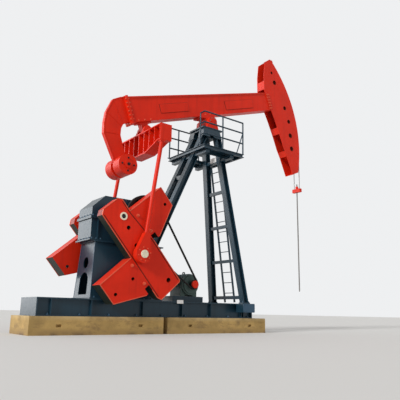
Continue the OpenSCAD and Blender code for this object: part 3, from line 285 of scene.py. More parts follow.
def weather_group():
    """Tone drift, dust on upward faces and rain streaks for painted steel."""
    group, given, end = new_tree("ShaderNodeTree", "Weathered finish", {
        "Colour": COLOUR, "Dust colour": COLOUR, "Dust": FLOAT, "Streaks": FLOAT,
        "Roughness": FLOAT}, {"Colour": COLOUR, "Roughness": FLOAT, "Height": FLOAT})
    place, normal = surface_place(group, "Normal")
    drift = noise(group, place, 1.4)
    fine = noise(group, place, 26.0, 6.0)
    rain = noise(group, stretched(group, place, (9.0, 9.0, 0.5)), 1.0, 5.0)
    bright = toned(group, given["Colour"], remap(group, drift, 0.3, 0.7, 0.88, 1.1))
    patchy = remap(group, fine, 0.35, 0.65)
    dust = product(group, remap(group, normal["Z"], 0.35, 0.95), patchy, given["Dust"])
    dusty = mixed(group, dust, bright, given["Dust colour"])
    streak = product(group, remap(group, rain, 0.5, 0.72), given["Streaks"])
    worn = product(group, maths(group, "ADD", dust, patchy), 0.12)
    feed(group, end, {
        "Colour": mixed(group, streak, dusty, (0.25, 0.2, 0.17, 1), "MULTIPLY"),
        "Roughness": maths(group, "ADD", given["Roughness"], worn),
        "Height": maths(group, "ADD", fine, drift)})


def concrete_group():
    """Cast concrete: clouds, sand, pores, stains, damp near the ground, and painted sunlight that makes the top
    paler.
    """
    group, given, end = new_tree("ShaderNodeTree", "Cast concrete", {
        "Colour": COLOUR, "Stain": COLOUR, "Pore scale": FLOAT},
        {"Colour": COLOUR, "Height": FLOAT})
    place, parts = surface_place(group, "Object")
    cloud = noise(group, place, 2.2, 6.0)
    sand = noise(group, place, 90.0, 3.0)
    patch = noise(group, stretched(group, place, (1.6, 1.6, 3.2)), 1.5, 7.0, 0.7)
    pores = add(group, "ShaderNodeTexVoronoi", {"Vector": place, "Scale": given["Pore scale"]})
    bright = toned(group, given["Colour"], remap(group, cloud, 0.32, 0.68, 0.66, 1.18))
    damp = product(group, remap(group, parts["Z"], 0.16, 0.0), remap(group, cloud, 0.42, 0.62))
    damp = maths(group, "MAXIMUM", damp, remap(group, patch, 0.52, 0.66, 0.0, 0.62))
    stained = mixed(group, damp, bright, given["Stain"])
    speckled = mixed(group, remap(group, sand, 0.35, 0.7, 0.0, 0.3), stained, given["Stain"])
    # painted sunlight: the upper part of the block turns paler
    painted_sunlit_top = product(group, remap(group, parts["Z"], 0.3, 0.4), remap(group, cloud, 0.4, 0.6, 0.2, 0.6))
    feed(group, end, {
        "Colour": mixed(group, painted_sunlit_top, speckled, (0.62, 0.47, 0.25, 1)),
        "Height": maths(group, "ADD", remap(group, pores, 0.12, 0.2), product(group, sand, 0.5))})


def new_material(name, colour, sockets):
    """Material whose uniform values stand on the sockets of its Principled shader."""
    material = FINISHES[name] = bpy.data.materials.new(name)
    material.use_nodes = True
    material.diffuse_color = (*colour, 1)
    tree = material.node_tree
    shader = tree.nodes["Principled BSDF"]
    feed(tree, shader, {"Base Color": (*colour, 1), **sockets})
    return material, tree, shader


def bump(tree, height, strength, distance):
    """Normal from a height."""
    return add(tree, "ShaderNodeBump", {"Height": height, "Strength": strength, "Distance": distance})


def painted(name, colour, dust=0.4, streaks=0.3, roughness=0.38, coat=0.05, metallic=0.0):
    """Painted or bare steel with the shared weathering."""
    finish = bpy.context.scene.pumpunit_finish
    material, tree, shader = new_material(name, colour, {
        "Roughness": roughness, "Metallic": metallic, "Coat Weight": coat,
        "Coat Roughness": 0.25, "Specular IOR Level": 0.15})
    weather = add(tree, "ShaderNodeGroup", {
        "Colour": (*colour, 1), "Dust colour": (*finish.dust_colour, 1),
        "Dust": dust * finish.dust, "Streaks": streaks * finish.streaks,
        "Roughness": roughness}, node_tree=bpy.data.node_groups["Weathered finish"]).outputs
    feed(tree, shader, {
        "Base Color": weather["Colour"], "Roughness": weather["Roughness"],
        "Normal": bump(tree, weather["Height"], strength=0.12, distance=0.002)})
    return material


def shade_side_faces(material, shade_colour):
    """Keeps the paint on faces that look along Y or up, and darkens the faces that look down or sideways: painted
    shade, which also stands for dark paint on the edges.
    """
    tree = material.node_tree
    weather = next(node for node in tree.nodes if node.type == "GROUP")
    normal = surface_place(tree, "Normal")[1]
    # painted shade: faces that neither look along Y nor up take the dark shade colour
    face = maths(tree, "MAXIMUM", remap(tree, maths(tree, "ABSOLUTE", normal["Y"]), 0.6, 0.8),
                 remap(tree, normal["Z"], 0.1, 0.3))
    colour = tuple(weather.inputs["Colour"].default_value)
    feed(tree, weather, {"Colour": mixed(tree, face, (*shade_colour, 1), colour)})


def cast_concrete(name, colour):
    """Material of the concrete blocks."""
    material, tree, shader = new_material(name, colour, {"Roughness": 0.9})
    surface = add(tree, "ShaderNodeGroup", {
        "Colour": (*colour, 1), "Stain": (0.16, 0.1, 0.05, 1), "Pore scale": 30.0},
        node_tree=bpy.data.node_groups["Cast concrete"]).outputs
    feed(tree, shader, {
        "Base Color": surface["Colour"],
        "Normal": bump(tree, surface["Height"], strength=0.5, distance=0.004)})


def paint(name):
    """Material of a piece: the frame's plain one, or this script's where it has none."""
    return bpy.data.materials[name]


# Geometry trees

def new_maker(name, **inputs):
    """Empty geometry tree that takes a mesh, some sizes and a material."""
    sockets = {"Geometry": GEOMETRY, **inputs, "Material": MATERIAL}
    return new_tree("GeometryNodeTree", name, {
        label.replace("_", " "): socket for label, socket in sockets.items()},
        {"Geometry": GEOMETRY})


def finish_tree(tree, given, end, geometry):
    """Realize Instances and Set Material close every tree."""
    real = add(tree, "GeometryNodeRealizeInstances", {"Geometry": geometry})
    shown = add(tree, "GeometryNodeSetMaterial", {"Geometry": real, "Material": given["Material"]})
    feed(tree, end, {"Geometry": shown})


def prism(tree, sides, radius, depth, lift):
    """Upright prism, moved up."""
    node = add(tree, "GeometryNodeMeshCylinder", {"Vertices": sides, "Radius": radius, "Depth": depth})
    return add(tree, "GeometryNodeTransform", {"Geometry": node, "Translation": vector(tree, Z=lift)})


def on_points(tree, points, shape, **more):
    """The shape on every point."""
    return add(tree, "GeometryNodeInstanceOnPoints", {"Points": points, "Instance": shape, **more})


def aimed(tree, given, shape):
    """The shape on every point, turned to the point's aim."""
    aim = add(tree, "GeometryNodeInputNamedAttribute", {"Name": "aim"}, data_type="FLOAT_VECTOR")
    turn = add(tree, "FunctionNodeAlignRotationToVector", {"Vector": aim}, axis="Z")
    return on_points(tree, given["Geometry"], shape, Rotation=turn)


def odd_point(tree):
    """One at every other point, else zero."""
    return maths(tree, "MODULO", add(tree, "GeometryNodeInputIndex"), 2)


def bolt_tree():
    """Hex head, washer and thread end on every point, turned to the point's aim."""
    tree, given, end = new_maker("Bolts on points", Radius=FLOAT)
    bolt = add(tree, "GeometryNodeJoinGeometry")
    # sides, and shares of the head's radius: radius, depth and lift
    for sides, radius, depth, lift in ((6, 1, 1.1, 0.8), (16, 1.3, 0.3, 0.14), (10, 0.55, 1.9, 0.95)):
        sizes = [product(tree, given["Radius"], share) for share in (radius, depth, lift)]
        feed(tree, bolt, {"Geometry": prism(tree, sides, *sizes)})
    finish_tree(tree, given, end, aimed(tree, given, bolt))


def block_tree():
    """A box on every point, turned to the point's aim."""
    tree, given, end = new_maker("Blocks on points", Size=VECTOR)
    block = add(tree, "GeometryNodeMeshCube", {"Size": given["Size"]})
    finish_tree(tree, given, end, aimed(tree, given, block))


def tread_tree():
    """Raised tears of a tread plate on every point, turned left and right by turns."""
    tree, given, end = new_maker("Tread plate", Length=FLOAT, Height=FLOAT)
    tear = add(tree, "GeometryNodeMeshUVSphere", {"Segments": 8, "Rings": 4, "Radius": 1.0})
    size = vector(tree, X=product(tree, given["Length"], 0.5),
                  Y=product(tree, given["Length"], 0.16), Z=given["Height"])
    side = maths(tree, "SUBTRACT", odd_point(tree), 0.5)
    angle = vector(tree, Z=product(tree, side, pi / 2))
    finish_tree(tree, given, end, on_points(tree, given["Geometry"], tear, Rotation=angle, Scale=size))


def path_curve(tree, given, step):
    """Curve along the mesh's edges, with its points a step apart."""
    path = add(tree, "GeometryNodeMeshToCurve", {"Mesh": given["Geometry"]})
    return add(tree, "GeometryNodeResampleCurve", {"Curve": path, "Length": step}, mode="LENGTH")


def circle(tree, radius, points):
    """Round section."""
    return add(tree, "GeometryNodeCurvePrimitiveCircle", {"Radius": radius, "Resolution": points})


def swept(tree, curve, section, caps=True):
    """The section taken along the curve."""
    return add(tree, "GeometryNodeCurveToMesh", {
        "Curve": curve, "Profile Curve": section, "Fill Caps": caps})


def rope_tree():
    """Wire rope: a lobed profile that twists along the path of the mesh's edges."""
    tree, given, end = new_maker("Wire rope", Radius=FLOAT, Lay_length=FLOAT, Strands=INTEGER)
    lay = given["Lay length"]
    curve = path_curve(tree, given, maths(tree, "DIVIDE", lay, 9.0))
    where = add(tree, "GeometryNodeSplineParameter").outputs
    twist = product(tree, maths(tree, "DIVIDE", where["Length"], lay), 2 * pi)
    curve = add(tree, "GeometryNodeSetCurveTilt", {"Curve": curve, "Tilt": twist})
    lobes = product(tree, where["Factor"], given["Strands"], pi)
    wave = maths(tree, "ABSOLUTE", maths(tree, "SINE", lobes))
    swell = maths(tree, "ADD", product(tree, wave, 0.22), 0.78)
    spot = add(tree, "ShaderNodeVectorMath", {
        0: add(tree, "GeometryNodeInputPosition"), "Scale": swell}, operation="SCALE")
    section = add(tree, "GeometryNodeSetPosition", {
        "Geometry": circle(tree, given["Radius"], 24), "Position": spot})
    finish_tree(tree, given, end, swept(tree, curve, section))


def belt_tree():
    """V belts side by side: a tapered section follows the loop of the mesh's edges."""
    tree, given, end = new_maker("Belt set", Count=INTEGER, Pitch=FLOAT, Thickness=FLOAT)
    pitch = given["Pitch"]
    path = add(tree, "GeometryNodeMeshToCurve", {"Mesh": given["Geometry"]})
    section = add(tree, "GeometryNodeCurvePrimitiveQuadrilateral", {
        "Bottom Width": product(tree, pitch, 0.5), "Top Width": product(tree, pitch, 0.86),
        "Height": given["Thickness"], "Offset": 0.0}, mode="TRAPEZOID")
    row = add(tree, "GeometryNodeMeshLine", {"Count": given["Count"], "Offset": vector(tree, Y=pitch)})
    finish_tree(tree, given, end, on_points(tree, row, swept(tree, path, section, caps=False)))


def bead_tree():
    """Weld bead: a small rippled round along the mesh's edges."""
    tree, given, end = new_maker("Weld bead", Radius=FLOAT, Ripple=FLOAT)
    curve = path_curve(tree, given, product(tree, given["Radius"], 2.4))
    swell = maths(tree, "ADD", product(tree, odd_point(tree), given["Ripple"]), 1.0)
    curve = add(tree, "GeometryNodeSetCurveRadius", {"Curve": curve, "Radius": swell})
    finish_tree(tree, given, end, swept(tree, curve, circle(tree, given["Radius"], 6)))


# Mesh makers

def points_mesh(name, spots):
    """Mesh of points from (place, aim) pairs."""
    mesh = bpy.data.meshes.new(name)
    mesh.from_pydata([tuple(place) for place, _ in spots], [], [])
    aims = mesh.attributes.new("aim", "FLOAT_VECTOR", "POINT")
    for item, (_, aim) in zip(aims.data, spots):
        item.vector = tuple(aim)
    return mesh


def path_mesh(name, paths, closed=False):
    """Mesh of edges along paths of places."""
    places, edges = [], []
    for path in paths:
        numbers = list(range(len(places), len(places) + len(path)))
        places += path
        edges += pairs(numbers)
        if closed:
            edges.append((numbers[-1], numbers[0]))
    mesh = bpy.data.meshes.new(name)
    mesh.from_pydata([tuple(place) for place in places], edges, [])
    return mesh


def new_piece(name, mesh):
    """Object that shows a mesh."""
    piece = bpy.data.objects.new(name, mesh)
    bpy.context.scene.collection.objects.link(piece)
    return piece


def finish_piece(piece, colour, body):
    """Gives a piece its material and slot, and lets it ride on a body."""
    piece.data.materials.clear()
    piece.data.materials.append(paint(colour))
    if body:
        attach(piece, body)
    return piece


def grown(name, mesh, tree, values, colour, body=None):
    """Runs a geometry tree on a mesh and keeps the result."""
    values = {**values, "Material": paint(colour)}
    piece = new_piece(name, mesh)
    modifier = piece.modifiers.new("Build", "NODES")
    modifier.node_group = bpy.data.node_groups[tree]
    for item in modifier.node_group.interface.items_tree:
        if item.in_out == "INPUT" and item.name in values:
            modifier[item.identifier] = values[item.name]
    bpy.context.view_layer.update()
    ready = piece.evaluated_get(bpy.context.evaluated_depsgraph_get())
    plain = bpy.data.meshes.new_from_object(ready)
    piece.modifiers.clear()
    piece.data = plain
    for face in plain.polygons:
        face.material_index = 0
    if not plain.polygons:
        raise RuntimeError(f"{name} came out empty")
    return finish_piece(piece, colour, body)


def bolts(name, spots, radius, colour, body):
    """Hex bolts on (place, aim) pairs."""
    grown(name, points_mesh(name, spots), "Bolts on points", {"Radius": radius}, colour, body)


def stacked(name, stacks, colour, body):
    """Closed shells, each skinned over its rows of places."""
    shape = bmesh.new()
    for stack in stacks:
        rows = [[shape.verts.new(spot) for spot in row] for row in stack]
        for low, high in pairs(rows):
            for i in range(len(low)):
                shape.faces.new((low[i - 1], low[i], high[i], high[i - 1]))
        shape.faces.new(rows[0])
        shape.faces.new(rows[-1])
    bmesh.ops.recalc_face_normals(shape, faces=shape.faces)
    mesh = bpy.data.meshes.new(name)
    shape.to_mesh(mesh)
    shape.free()
    finish_piece(new_piece(name, mesh), colour, body)


def turned(name, centres, profile, colour, body):
    """Rounds turned about Y on (place, side, radius), from their middle outwards."""
    stacked(name, [
        [ring(place, radius * share + added, 32, place[1] + side * out)
         for share, added, out in profile]
        for place, side, radius in centres], colour, body)


def rounded(width, height, radius):
    """Rounded rectangle about its middle, with six points in each corner."""
    outline = []
    for quarter, (right, up) in enumerate(((1, 1), (-1, 1), (-1, -1), (1, -1))):
        for step in range(6):
            angle = pi / 2 * (quarter + step / 5)
            outline.append((right * (width / 2 - radius) + radius * cos(angle),
                            up * (height / 2 - radius) + radius * sin(angle)))
    return outline


def plates(name, places, size, thickness, colour, body="base"):
    """Plates with a pressed rim and a rivet in each corner, on (centre, right, out)."""
    width, height = size
    lip = min(width, height) * 0.12
    rim = [(rounded(width - 2 * inset, height - 2 * inset, lip - inset), lift)
           for inset, lift in ((0, 0), (0, thickness * 0.8), (thickness * 0.2, thickness),
                               (lip * 0.5, thickness), (lip * 0.6, thickness * 0.7))]
    rivet = [([(radius * cos(pi * k / 5), radius * sin(pi * k / 5)) for k in range(10)], lift)
             for radius, lift in ((lip * 0.5, 0), (lip * 0.46, lip * 0.25), (lip * 0.25, lip * 0.42))]
    stacks = []
    for centre, right, out in places:
        centre, right, out = Vector(centre), Vector(right), Vector(out)
        top = out.cross(right)
        corners = [centre + right * x + top * y + out * thickness * 0.6
                   for x in both(width / 2 - lip * 1.4) for y in both(height / 2 - lip * 1.4)]
        stacks += [[[spot + right * x + top * y + out * lift for x, y in outline]
                    for outline, lift in profile]
                   for spot, profile in [(centre, rim)] + [(spot, rivet) for spot in corners]]
    stacked(name, stacks, colour, body)


# Settings that a user would change

def setting(kind, name, description, default, low, high, **more):
    """A value in the panel, with its limits."""
    return kind(name=name, description=description, default=default, min=low, max=high, **more)


def colour_setting(*words):
    """A colour."""
    return setting(bpy.props.FloatVectorProperty, *words, 0, 1, subtype="COLOR")


def length_setting(*words):
    """A length in metres."""
    return setting(bpy.props.FloatProperty, *words, unit="LENGTH")


def amount_setting(name, description, default, high):
    """A strength or a share."""
    return setting(bpy.props.FloatProperty, name, description, default, 0, high)


class FinishSettings(PropertyGroup):
    """Colours, wear and painted shade of the finishes."""
    red: colour_setting("Red paint", "Colour of the moving steelwork", (0.7, 0.022, 0.005))
    navy: colour_setting("Navy paint", "Colour of the standing steelwork", (0.009, 0.034, 0.055))
    cream: colour_setting("Cream paint", "Colour of the pin caps and hub rings", (0.8, 0.73, 0.56))
    motor: colour_setting("Motor paint", "Colour of the motor", (0.075, 0.115, 0.105))
    # painted shade on the downward and side faces of the cranks and weights, partly dark edge paint
    weight_shade: colour_setting(
        "Weight edges", "Colour of the edges of the crank weights", (0.02, 0.026, 0.02))
    # painted shade: this dark colour fills the joint lines, pad rims and hole cups where shadow falls
    primer: colour_setting(
        "Dark primer", "Colour in open joints and holes of the red parts",
        (0.1, 0.01, 0.005))
    concrete: colour_setting("Concrete", "Colour of the concrete blocks", (0.5, 0.325, 0.11))
    dust_colour: colour_setting("Dust", "Colour of the dust on upward faces", (0.45, 0.34, 0.2))
    dust: amount_setting("Dust amount", "How much dust lies on upward faces", 0.5, 2)
    streaks: amount_setting("Streak amount", "How strongly rain has marked the paint", 0.6, 2)


class FastenerSettings(PropertyGroup):
    """Sizes of the bolts."""
    small: length_setting("Small bolts", "Head radius of the cover and cap bolts", 0.013, 0.005, 0.03)
    medium: length_setting("Frame bolts", "Head radius of the frame bolts", 0.019, 0.01, 0.04)
    large: length_setting(
        "Anchor bolts", "Head radius of the anchor and weight bolts", 0.032, 0.02, 0.06)


class WeldSettings(PropertyGroup):
    """Sizes of the weld beads."""
    radius: length_setting("Bead radius", "Radius of a weld bead", 0.006, 0.002, 0.012)
    ripple: amount_setting("Ripple", "How much the bead swells at each ripple", 0.18, 0.6)
    # this radius also sizes the dark beads that paint shadow lines at the pads and along the arm's joints
    joint: length_setting(
        "Joint filler radius", "Radius of the filler along open joints", 0.011, 0.004, 0.02)


class DriveSettings(PropertyGroup):
    """Sizes of the belt drive and the motor's ribs."""
    belts: setting(bpy.props.IntProperty, "Belts", "Belts side by side", 5, 1, 8)
    belt_t: length_setting("Belt thickness", "Thickness of a belt", 0.016, 0.008, 0.018)
    ribs: setting(bpy.props.IntProperty, "Motor ribs", "Cooling ribs round the motor", 44, 8, 72)
    rib_h: length_setting("Rib height", "How far a rib stands out of the motor", 0.022, 0.005, 0.04)


class RopeSettings(PropertyGroup):
    """Sizes of the wire ropes."""
    radius: length_setting("Rope radius", "Radius of a wire rope", 0.013, 0.006, 0.02)
    lay: length_setting("Lay length", "Length of one turn of a strand", 0.16, 0.05, 0.4)
    strands: setting(bpy.props.IntProperty, "Strands", "Strands in a rope", 6, 3, 8)


class TreadSettings(PropertyGroup):
    """Sizes of the tread plate."""
    pitch: length_setting("Tear pitch", "Distance between raised tears", 0.06, 0.03, 0.2)
    length: length_setting("Tear length", "Length of a raised tear", 0.036, 0.01, 0.1)
    height: length_setting("Tear height", "Height of a raised tear", 0.004, 0.001, 0.01)


class StageSettings(PropertyGroup):
    """Floor, light and camera."""
    floor: colour_setting("Floor", "Colour of the floor", (0.72, 0.71, 0.69))
    sky: amount_setting("Sky light", "Strength of the even light", 0.55, 2)
    sun: amount_setting("Sun", "Strength of the soft sun", 2.3, 5)
    sheen: amount_setting("Sheen", "Strength of the light seen only in glossy paint", 2.3, 10)
    lens: setting(
        bpy.props.FloatProperty, "Lens", "Focal length in millimetres", 44.2, 10, 200,
        unit="CAMERA")


# Operators

class PUMPUNIT_OT_finishes(Operator):
    """Build the finishes and put them on the frame's nodes"""
    bl_idname = "pumpunit.finishes"
    bl_label = "Finishes"

    def execute(self, context):
        finish = context.scene.pumpunit_finish
        weather_group()
        concrete_group()
        painted("red_paint", finish.red, dust=0.2)
        painted("navy_paint", finish.navy, dust=0.3, coat=0.45)
        # red paint for the weights, with painted shade on their downward and side faces
        shade_side_faces(painted("weight_paint_and_shade", finish.red, dust=0.2), finish.weight_shade)
        painted("cream_paint", finish.cream)
        painted("motor_paint", finish.motor)
        # dark red that paints the shade in joints, along the pad rims and inside the holes
        painted("dark_primer", finish.primer, roughness=0.6, coat=0)
        painted("black_iron", (0.012, 0.012, 0.013), roughness=0.5, coat=0)
        painted("bare_steel", (0.42, 0.41, 0.4), streaks=0.2, roughness=0.32, coat=0, metallic=1.0)
        painted("rope_steel", (0.16, 0.15, 0.14), roughness=0.5, coat=0, metallic=0.5)
        painted("rod_steel", (0.2, 0.19, 0.18), roughness=0.5, coat=0, metallic=0.2)
        painted("bolt_zinc", (0.3, 0.29, 0.27), roughness=0.42, coat=0, metallic=0.8)
        painted("bare_plate", (0.95, 0.95, 0.93), dust=0.1, streaks=0.1, roughness=0.5, coat=0)
        painted("belt_rubber", (0.008, 0.008, 0.009), roughness=0.7, coat=0)
        cast_concrete("concrete", finish.concrete)
        for part in frame["record"]["subparts"]:
            name = NODE_FINISHES.get(part["node"], part["material_slot"])
            for slot in frame["nodes"][part["node"]].material_slots:
                slot.material = FINISHES[name]
        return {"FINISHED"}


class PUMPUNIT_OT_frame_bolts(Operator):
    """Add the bolts of the tower, the pedestal, the gearbox and the skid"""
    bl_idname = "pumpunit.frame_bolts"
    bl_label = "Frame bolts"

    def gearbox(self, low, high):
        """Bolts of the split and foot flanges and of the bearing caps."""
        edge, lift, bearing = 0.018, 0.032, 0.25
        levels = (high[2] + lift, low[2] + lift)
        along = [x for x in spread(low[0] + 0.06, high[0] - 0.06, 15) if abs(x - CRANK.x) > bearing]
        return (upright(along, (low[1] + edge, high[1] - edge), levels)
                + upright((low[0] + edge, high[0] - edge), spread(low[1] + 0.09, high[1] - 0.09, 5),
                          levels)
                + facing(CRANK, 0.166, 10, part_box("bearing_caps")[1][1]))

    def feet(self, lift=0.03, half=0.06):
        """Bolts in the foot plates of the pedestal and the tower's legs."""
        low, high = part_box("pedestal")
        spots = upright(spread(low[0] + 0.12, high[0] - 0.12, 9), both(0.481), (low[2] + lift,))
        low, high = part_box("front_leg_near")
        foot = Vector((high[0] - 0.128, -low[1] - 0.095, low[2] + lift))
        spots += upright((foot.x - 0.107, foot.x + 0.107),
                         both(foot.y - half, foot.y + half), (foot.z,))
        low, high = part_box("rear_leg_near")
        foot_y = -(low[1] + high[1]) / 2
        return spots + upright((low[0] + 0.022, low[0] + 0.232),
                               both(foot_y - half, foot_y + half), (low[2] + lift,))

    def execute(self, context):
        sizes = context.scene.pumpunit_fasteners
        case_low, case_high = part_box("gearbox_lower_case")
        low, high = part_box("saddle_bearings")
        bearings = upright((low[0] + 0.035, high[0] - 0.035), both(0.215, 0.285), (low[2] + 0.042,))
        bolts("frame_bolts", self.gearbox(case_low, case_high) + self.feet() + bearings,
              sizes.medium, "navy_paint", "base")
        input_cover = (-2.69, 0, CRANK.z)
        hatch = upright([CRANK.x + x for x in (0.03, 0.21, 0.39)], both(0.185), (CRANK.z + 0.584,))
        bolts("cover_bolts", facing(input_cover, 0.1, 6, case_high[1] + 0.022)
              + facing(SADDLE, 0.11, 6, high[1]) + hatch, sizes.small, "bolt_zinc", "base")
        low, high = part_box("skid_rail_near")
        anchors = upright(spread(low[0] + 0.25, high[0] - 0.1, 9), both(0.455), (low[2] + 0.028,))
        bolts("anchor_bolts", anchors, sizes.large * 0.7, "navy_paint", "base")
        return {"FINISHED"}


class PUMPUNIT_OT_beam_bolts(Operator):
    """Add the bolts of the walking beam, the tail arm and the horse head"""
    bl_idname = "pumpunit.beam_bolts"
    bl_label = "Beam bolts"

    def execute(self, context):
        sizes = context.scene.pumpunit_fasteners
        spots = []
        for tail_joint, way in ((-2.67, 1), (-2.73, -1)):
            aim = beam_dir(way, 0)
            spots += [(on_beam(tail_joint, y, w), aim)
                      for y in both(0.16) for w in spread(0.32, 0.88, 6)]
            spots += [(on_beam(tail_joint, y, w), aim) for y in (-0.09, 0, 0.09) for w in (0.209, 0.96)]
        spots += [(on_beam(u, side * 0.167, w), Vector((0, side, 0)))
                  for side in SIDES for u in (2.82, 2.9) for w in spread(0.29, 0.76, 6)]
        saddle, bracket = spread(-0.29, 0.29, 4), spread(-2.5, -2.1, 3)
        spots += [(on_beam(u, y, BEAM_FOOT), beam_dir(0, 1))
                  for y in both(0.153) for u in saddle + bracket]
        bolts("beam_bolts", spots, sizes.medium, "red_paint", "beam")
        axle = on_beam(*TAIL_AXLE)
        bolts("tail_hub_bolts", facing(axle, 0.17, 4, 0.375), sizes.medium, "black_iron", "beam")
        bolts("tail_axle_nuts", facing(axle, 0, 1, 0.405), sizes.large, "black_iron", "beam")
        return {"FINISHED"}


class PUMPUNIT_OT_crank_bolts(Operator):
    """Add the bolts of the cranks, the weights and the pin housings"""
    bl_idname = "pumpunit.crank_bolts"
    bl_label = "Crank bolts"

    def execute(self, context):
        sizes = context.scene.pumpunit_fasteners
        pin = middle("crank_pin_caps")
        housing_face, cap_face = -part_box("pitman_near")[0][1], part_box("crank_pin_caps")[1][1]
        bolts("weight_bolts", [
            (on_arm(s, side * ARM_FACE, n), Vector((0, side, 0)))
            for side in SIDES for s, n in WEIGHT_BOLTS[side]],
            sizes.large, "red_paint", "cranks")
        bolts("hub_bolts", facing(CRANK, 0.03, 3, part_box("crank_shaft")[1][1]),
              sizes.small, "bolt_zinc", "cranks")
        bolts("housing_bolts", facing(pin, 0.16, 8, housing_face, start=0.2),
              sizes.small, "red_paint", "links")
        bolts("cap_bolts", facing(pin, 0.068, 6, cap_face), sizes.small * 0.7, "cream_paint", "links")
        return {"FINISHED"}


class PUMPUNIT_OT_hole_cups(Operator):
    """Add the dark cups that line the holes of the horse head and paint the shade inside them, and the end plates
    of the crank shaft
    """
    bl_idname = "pumpunit.hole_cups"
    bl_label = "Cups and end plates"

    def execute(self, context):
        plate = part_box("head_plate_far")[1]
        reach = plate[0] - SADDLE.x
        # painted shade: dark cups close the holes so that they read dark inside
        turned("hole_cups", [
            (on_beam(reach - behind, side * plate[1], w), side, radius)
            for behind, w, radius in HEAD_HOLES for side in SIDES],
            CUP_PROFILE, "dark_primer", "beam")
        turned("shaft_end_plates", [
            ((CRANK.x, side * ARM_FACE, CRANK.z), side, 0.054) for side in SIDES],
            END_PLATE_PROFILE, "black_iron", "cranks")
        return {"FINISHED"}


class PUMPUNIT_OT_belts(Operator):
    """Replace the belt band with separate V belts"""
    bl_idname = "pumpunit.belts"
    bl_label = "V belts"

    def execute(self, context):
        drive = context.scene.pumpunit_drive
        low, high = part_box("drive_belts")
        pitch = (high[1] - low[1]) / drive.belts
        first_y = low[1] + pitch / 2
        big, small = middle("belt_sheave"), middle("motor_pulley")
        gap = 0.0006
        offset = drive.belt_t / 2 + gap
        big_r, small_r = [(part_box(wheel)[1][2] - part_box(wheel)[0][2]) / 2
                          for wheel in ("belt_sheave", "motor_pulley")]
        run = Vector((small.x - big.x, 0, small.z - big.z))
        heading = atan2(run.z, run.x)
        wrap = acos((big_r - small_r) / run.length)
        loop = arc(big, big_r + offset, first_y, heading + wrap, 2 * pi - 2 * wrap, 96)
        loop += arc(small, small_r + offset, first_y, heading - wrap, 2 * wrap, 32)
        belts = grown("v_belts", path_mesh("v_belts", [loop], closed=True), "Belt set",
                      {"Count": drive.belts, "Pitch": pitch, "Thickness": drive.belt_t},
                      "belt_rubber", "base")
        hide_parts("drive_belts")
        return {"FINISHED"}


class PUMPUNIT_OT_motor_ribs(Operator):
    """Add the cooling ribs of the motor"""
    bl_idname = "pumpunit.motor_ribs"
    bl_label = "Motor ribs"

    def execute(self, context):
        drive = context.scene.pumpunit_drive
        shaft = middle("motor_pulley")
        shaft.y = 0
        root, rib_t, rib_l = 0.268, 0.007, 0.58
        spots = []
        for i in range(drive.ribs):
            angle = 2 * pi * (i + 0.5) / drive.ribs
            outward = Vector((cos(angle), 0, sin(angle)))
            at_terminal_box = outward.x < -0.75 and abs(outward.z) < 0.75
            if outward.z > -0.35 and not at_terminal_box:
                spots.append((shaft + outward * (root + drive.rib_h / 2), outward))
        grown("motor_ribs", points_mesh("motor_ribs", spots), "Blocks on points",
              {"Size": (rib_t, rib_l, drive.rib_h)}, "motor_paint", "base")
        return {"FINISHED"}


class PUMPUNIT_OT_tread_plate(Operator):
    """Add the raised tears of the deck's tread plate"""
    bl_idname = "pumpunit.tread_plate"
    bl_label = "Tread plate"

    def execute(self, context):
        tread = context.scene.pumpunit_tread
        low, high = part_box("platform_deck")
        margin, hatch_low, hatch_high, hatch_half = 0.05, -0.74, 0.43, 0.48
        spots = []
        for i in range(int((high[0] - low[0]) / tread.pitch)):
            for k in range(int((high[1] - low[1]) / tread.pitch)):
                x = low[0] + (i + 0.5) * tread.pitch
                y = low[1] + (k + 0.5) * tread.pitch
                in_hatch = hatch_low < x < hatch_high and abs(y) < hatch_half
                if not in_hatch and abs(y) < high[1] - margin:
                    spots.append(((x, y, high[2]), UP))
        grown("tread_tears", points_mesh("tread_tears", spots), "Tread plate",
              {"Length": tread.length, "Height": tread.height}, "navy_paint", "base")
        return {"FINISHED"}


class PUMPUNIT_OT_ropes(Operator):
    """Replace the bridle ropes with twisted wire ropes"""
    bl_idname = "pumpunit.ropes"
    bl_label = "Wire ropes"

    def execute(self, context):
        rope = context.scene.pumpunit_rope
        values = {"Radius": rope.radius, "Lay length": rope.lay, "Strands": rope.strands}
        low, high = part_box("bridle_ropes")
        reach = middle("polished_rod").x
        rope_y = (high[1] - low[1]) / 2 - rope.radius
        wrap = asin((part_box("bridle_wrap")[1][2] - SADDLE.z) / (reach + rope.radius))
        on_head = [arc(SADDLE, reach, y, 0, wrap, 60) for y in both(rope_y)]
        wrapped = grown("wrapped_ropes", path_mesh("wrapped_ropes", on_head), "Wire rope",
                        values, "rope_steel", "beam")
        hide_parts("bridle_wrap")
        free = [[Vector((reach, y, z)) for z in spread(low[2], high[2], 41)] for y in both(rope_y)]
        hanging = grown("hanging_ropes", path_mesh("hanging_ropes", free), "Wire rope",
                        values, "rope_steel")
        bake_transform(hanging)
        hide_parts("bridle_ropes")
        return {"FINISHED"}


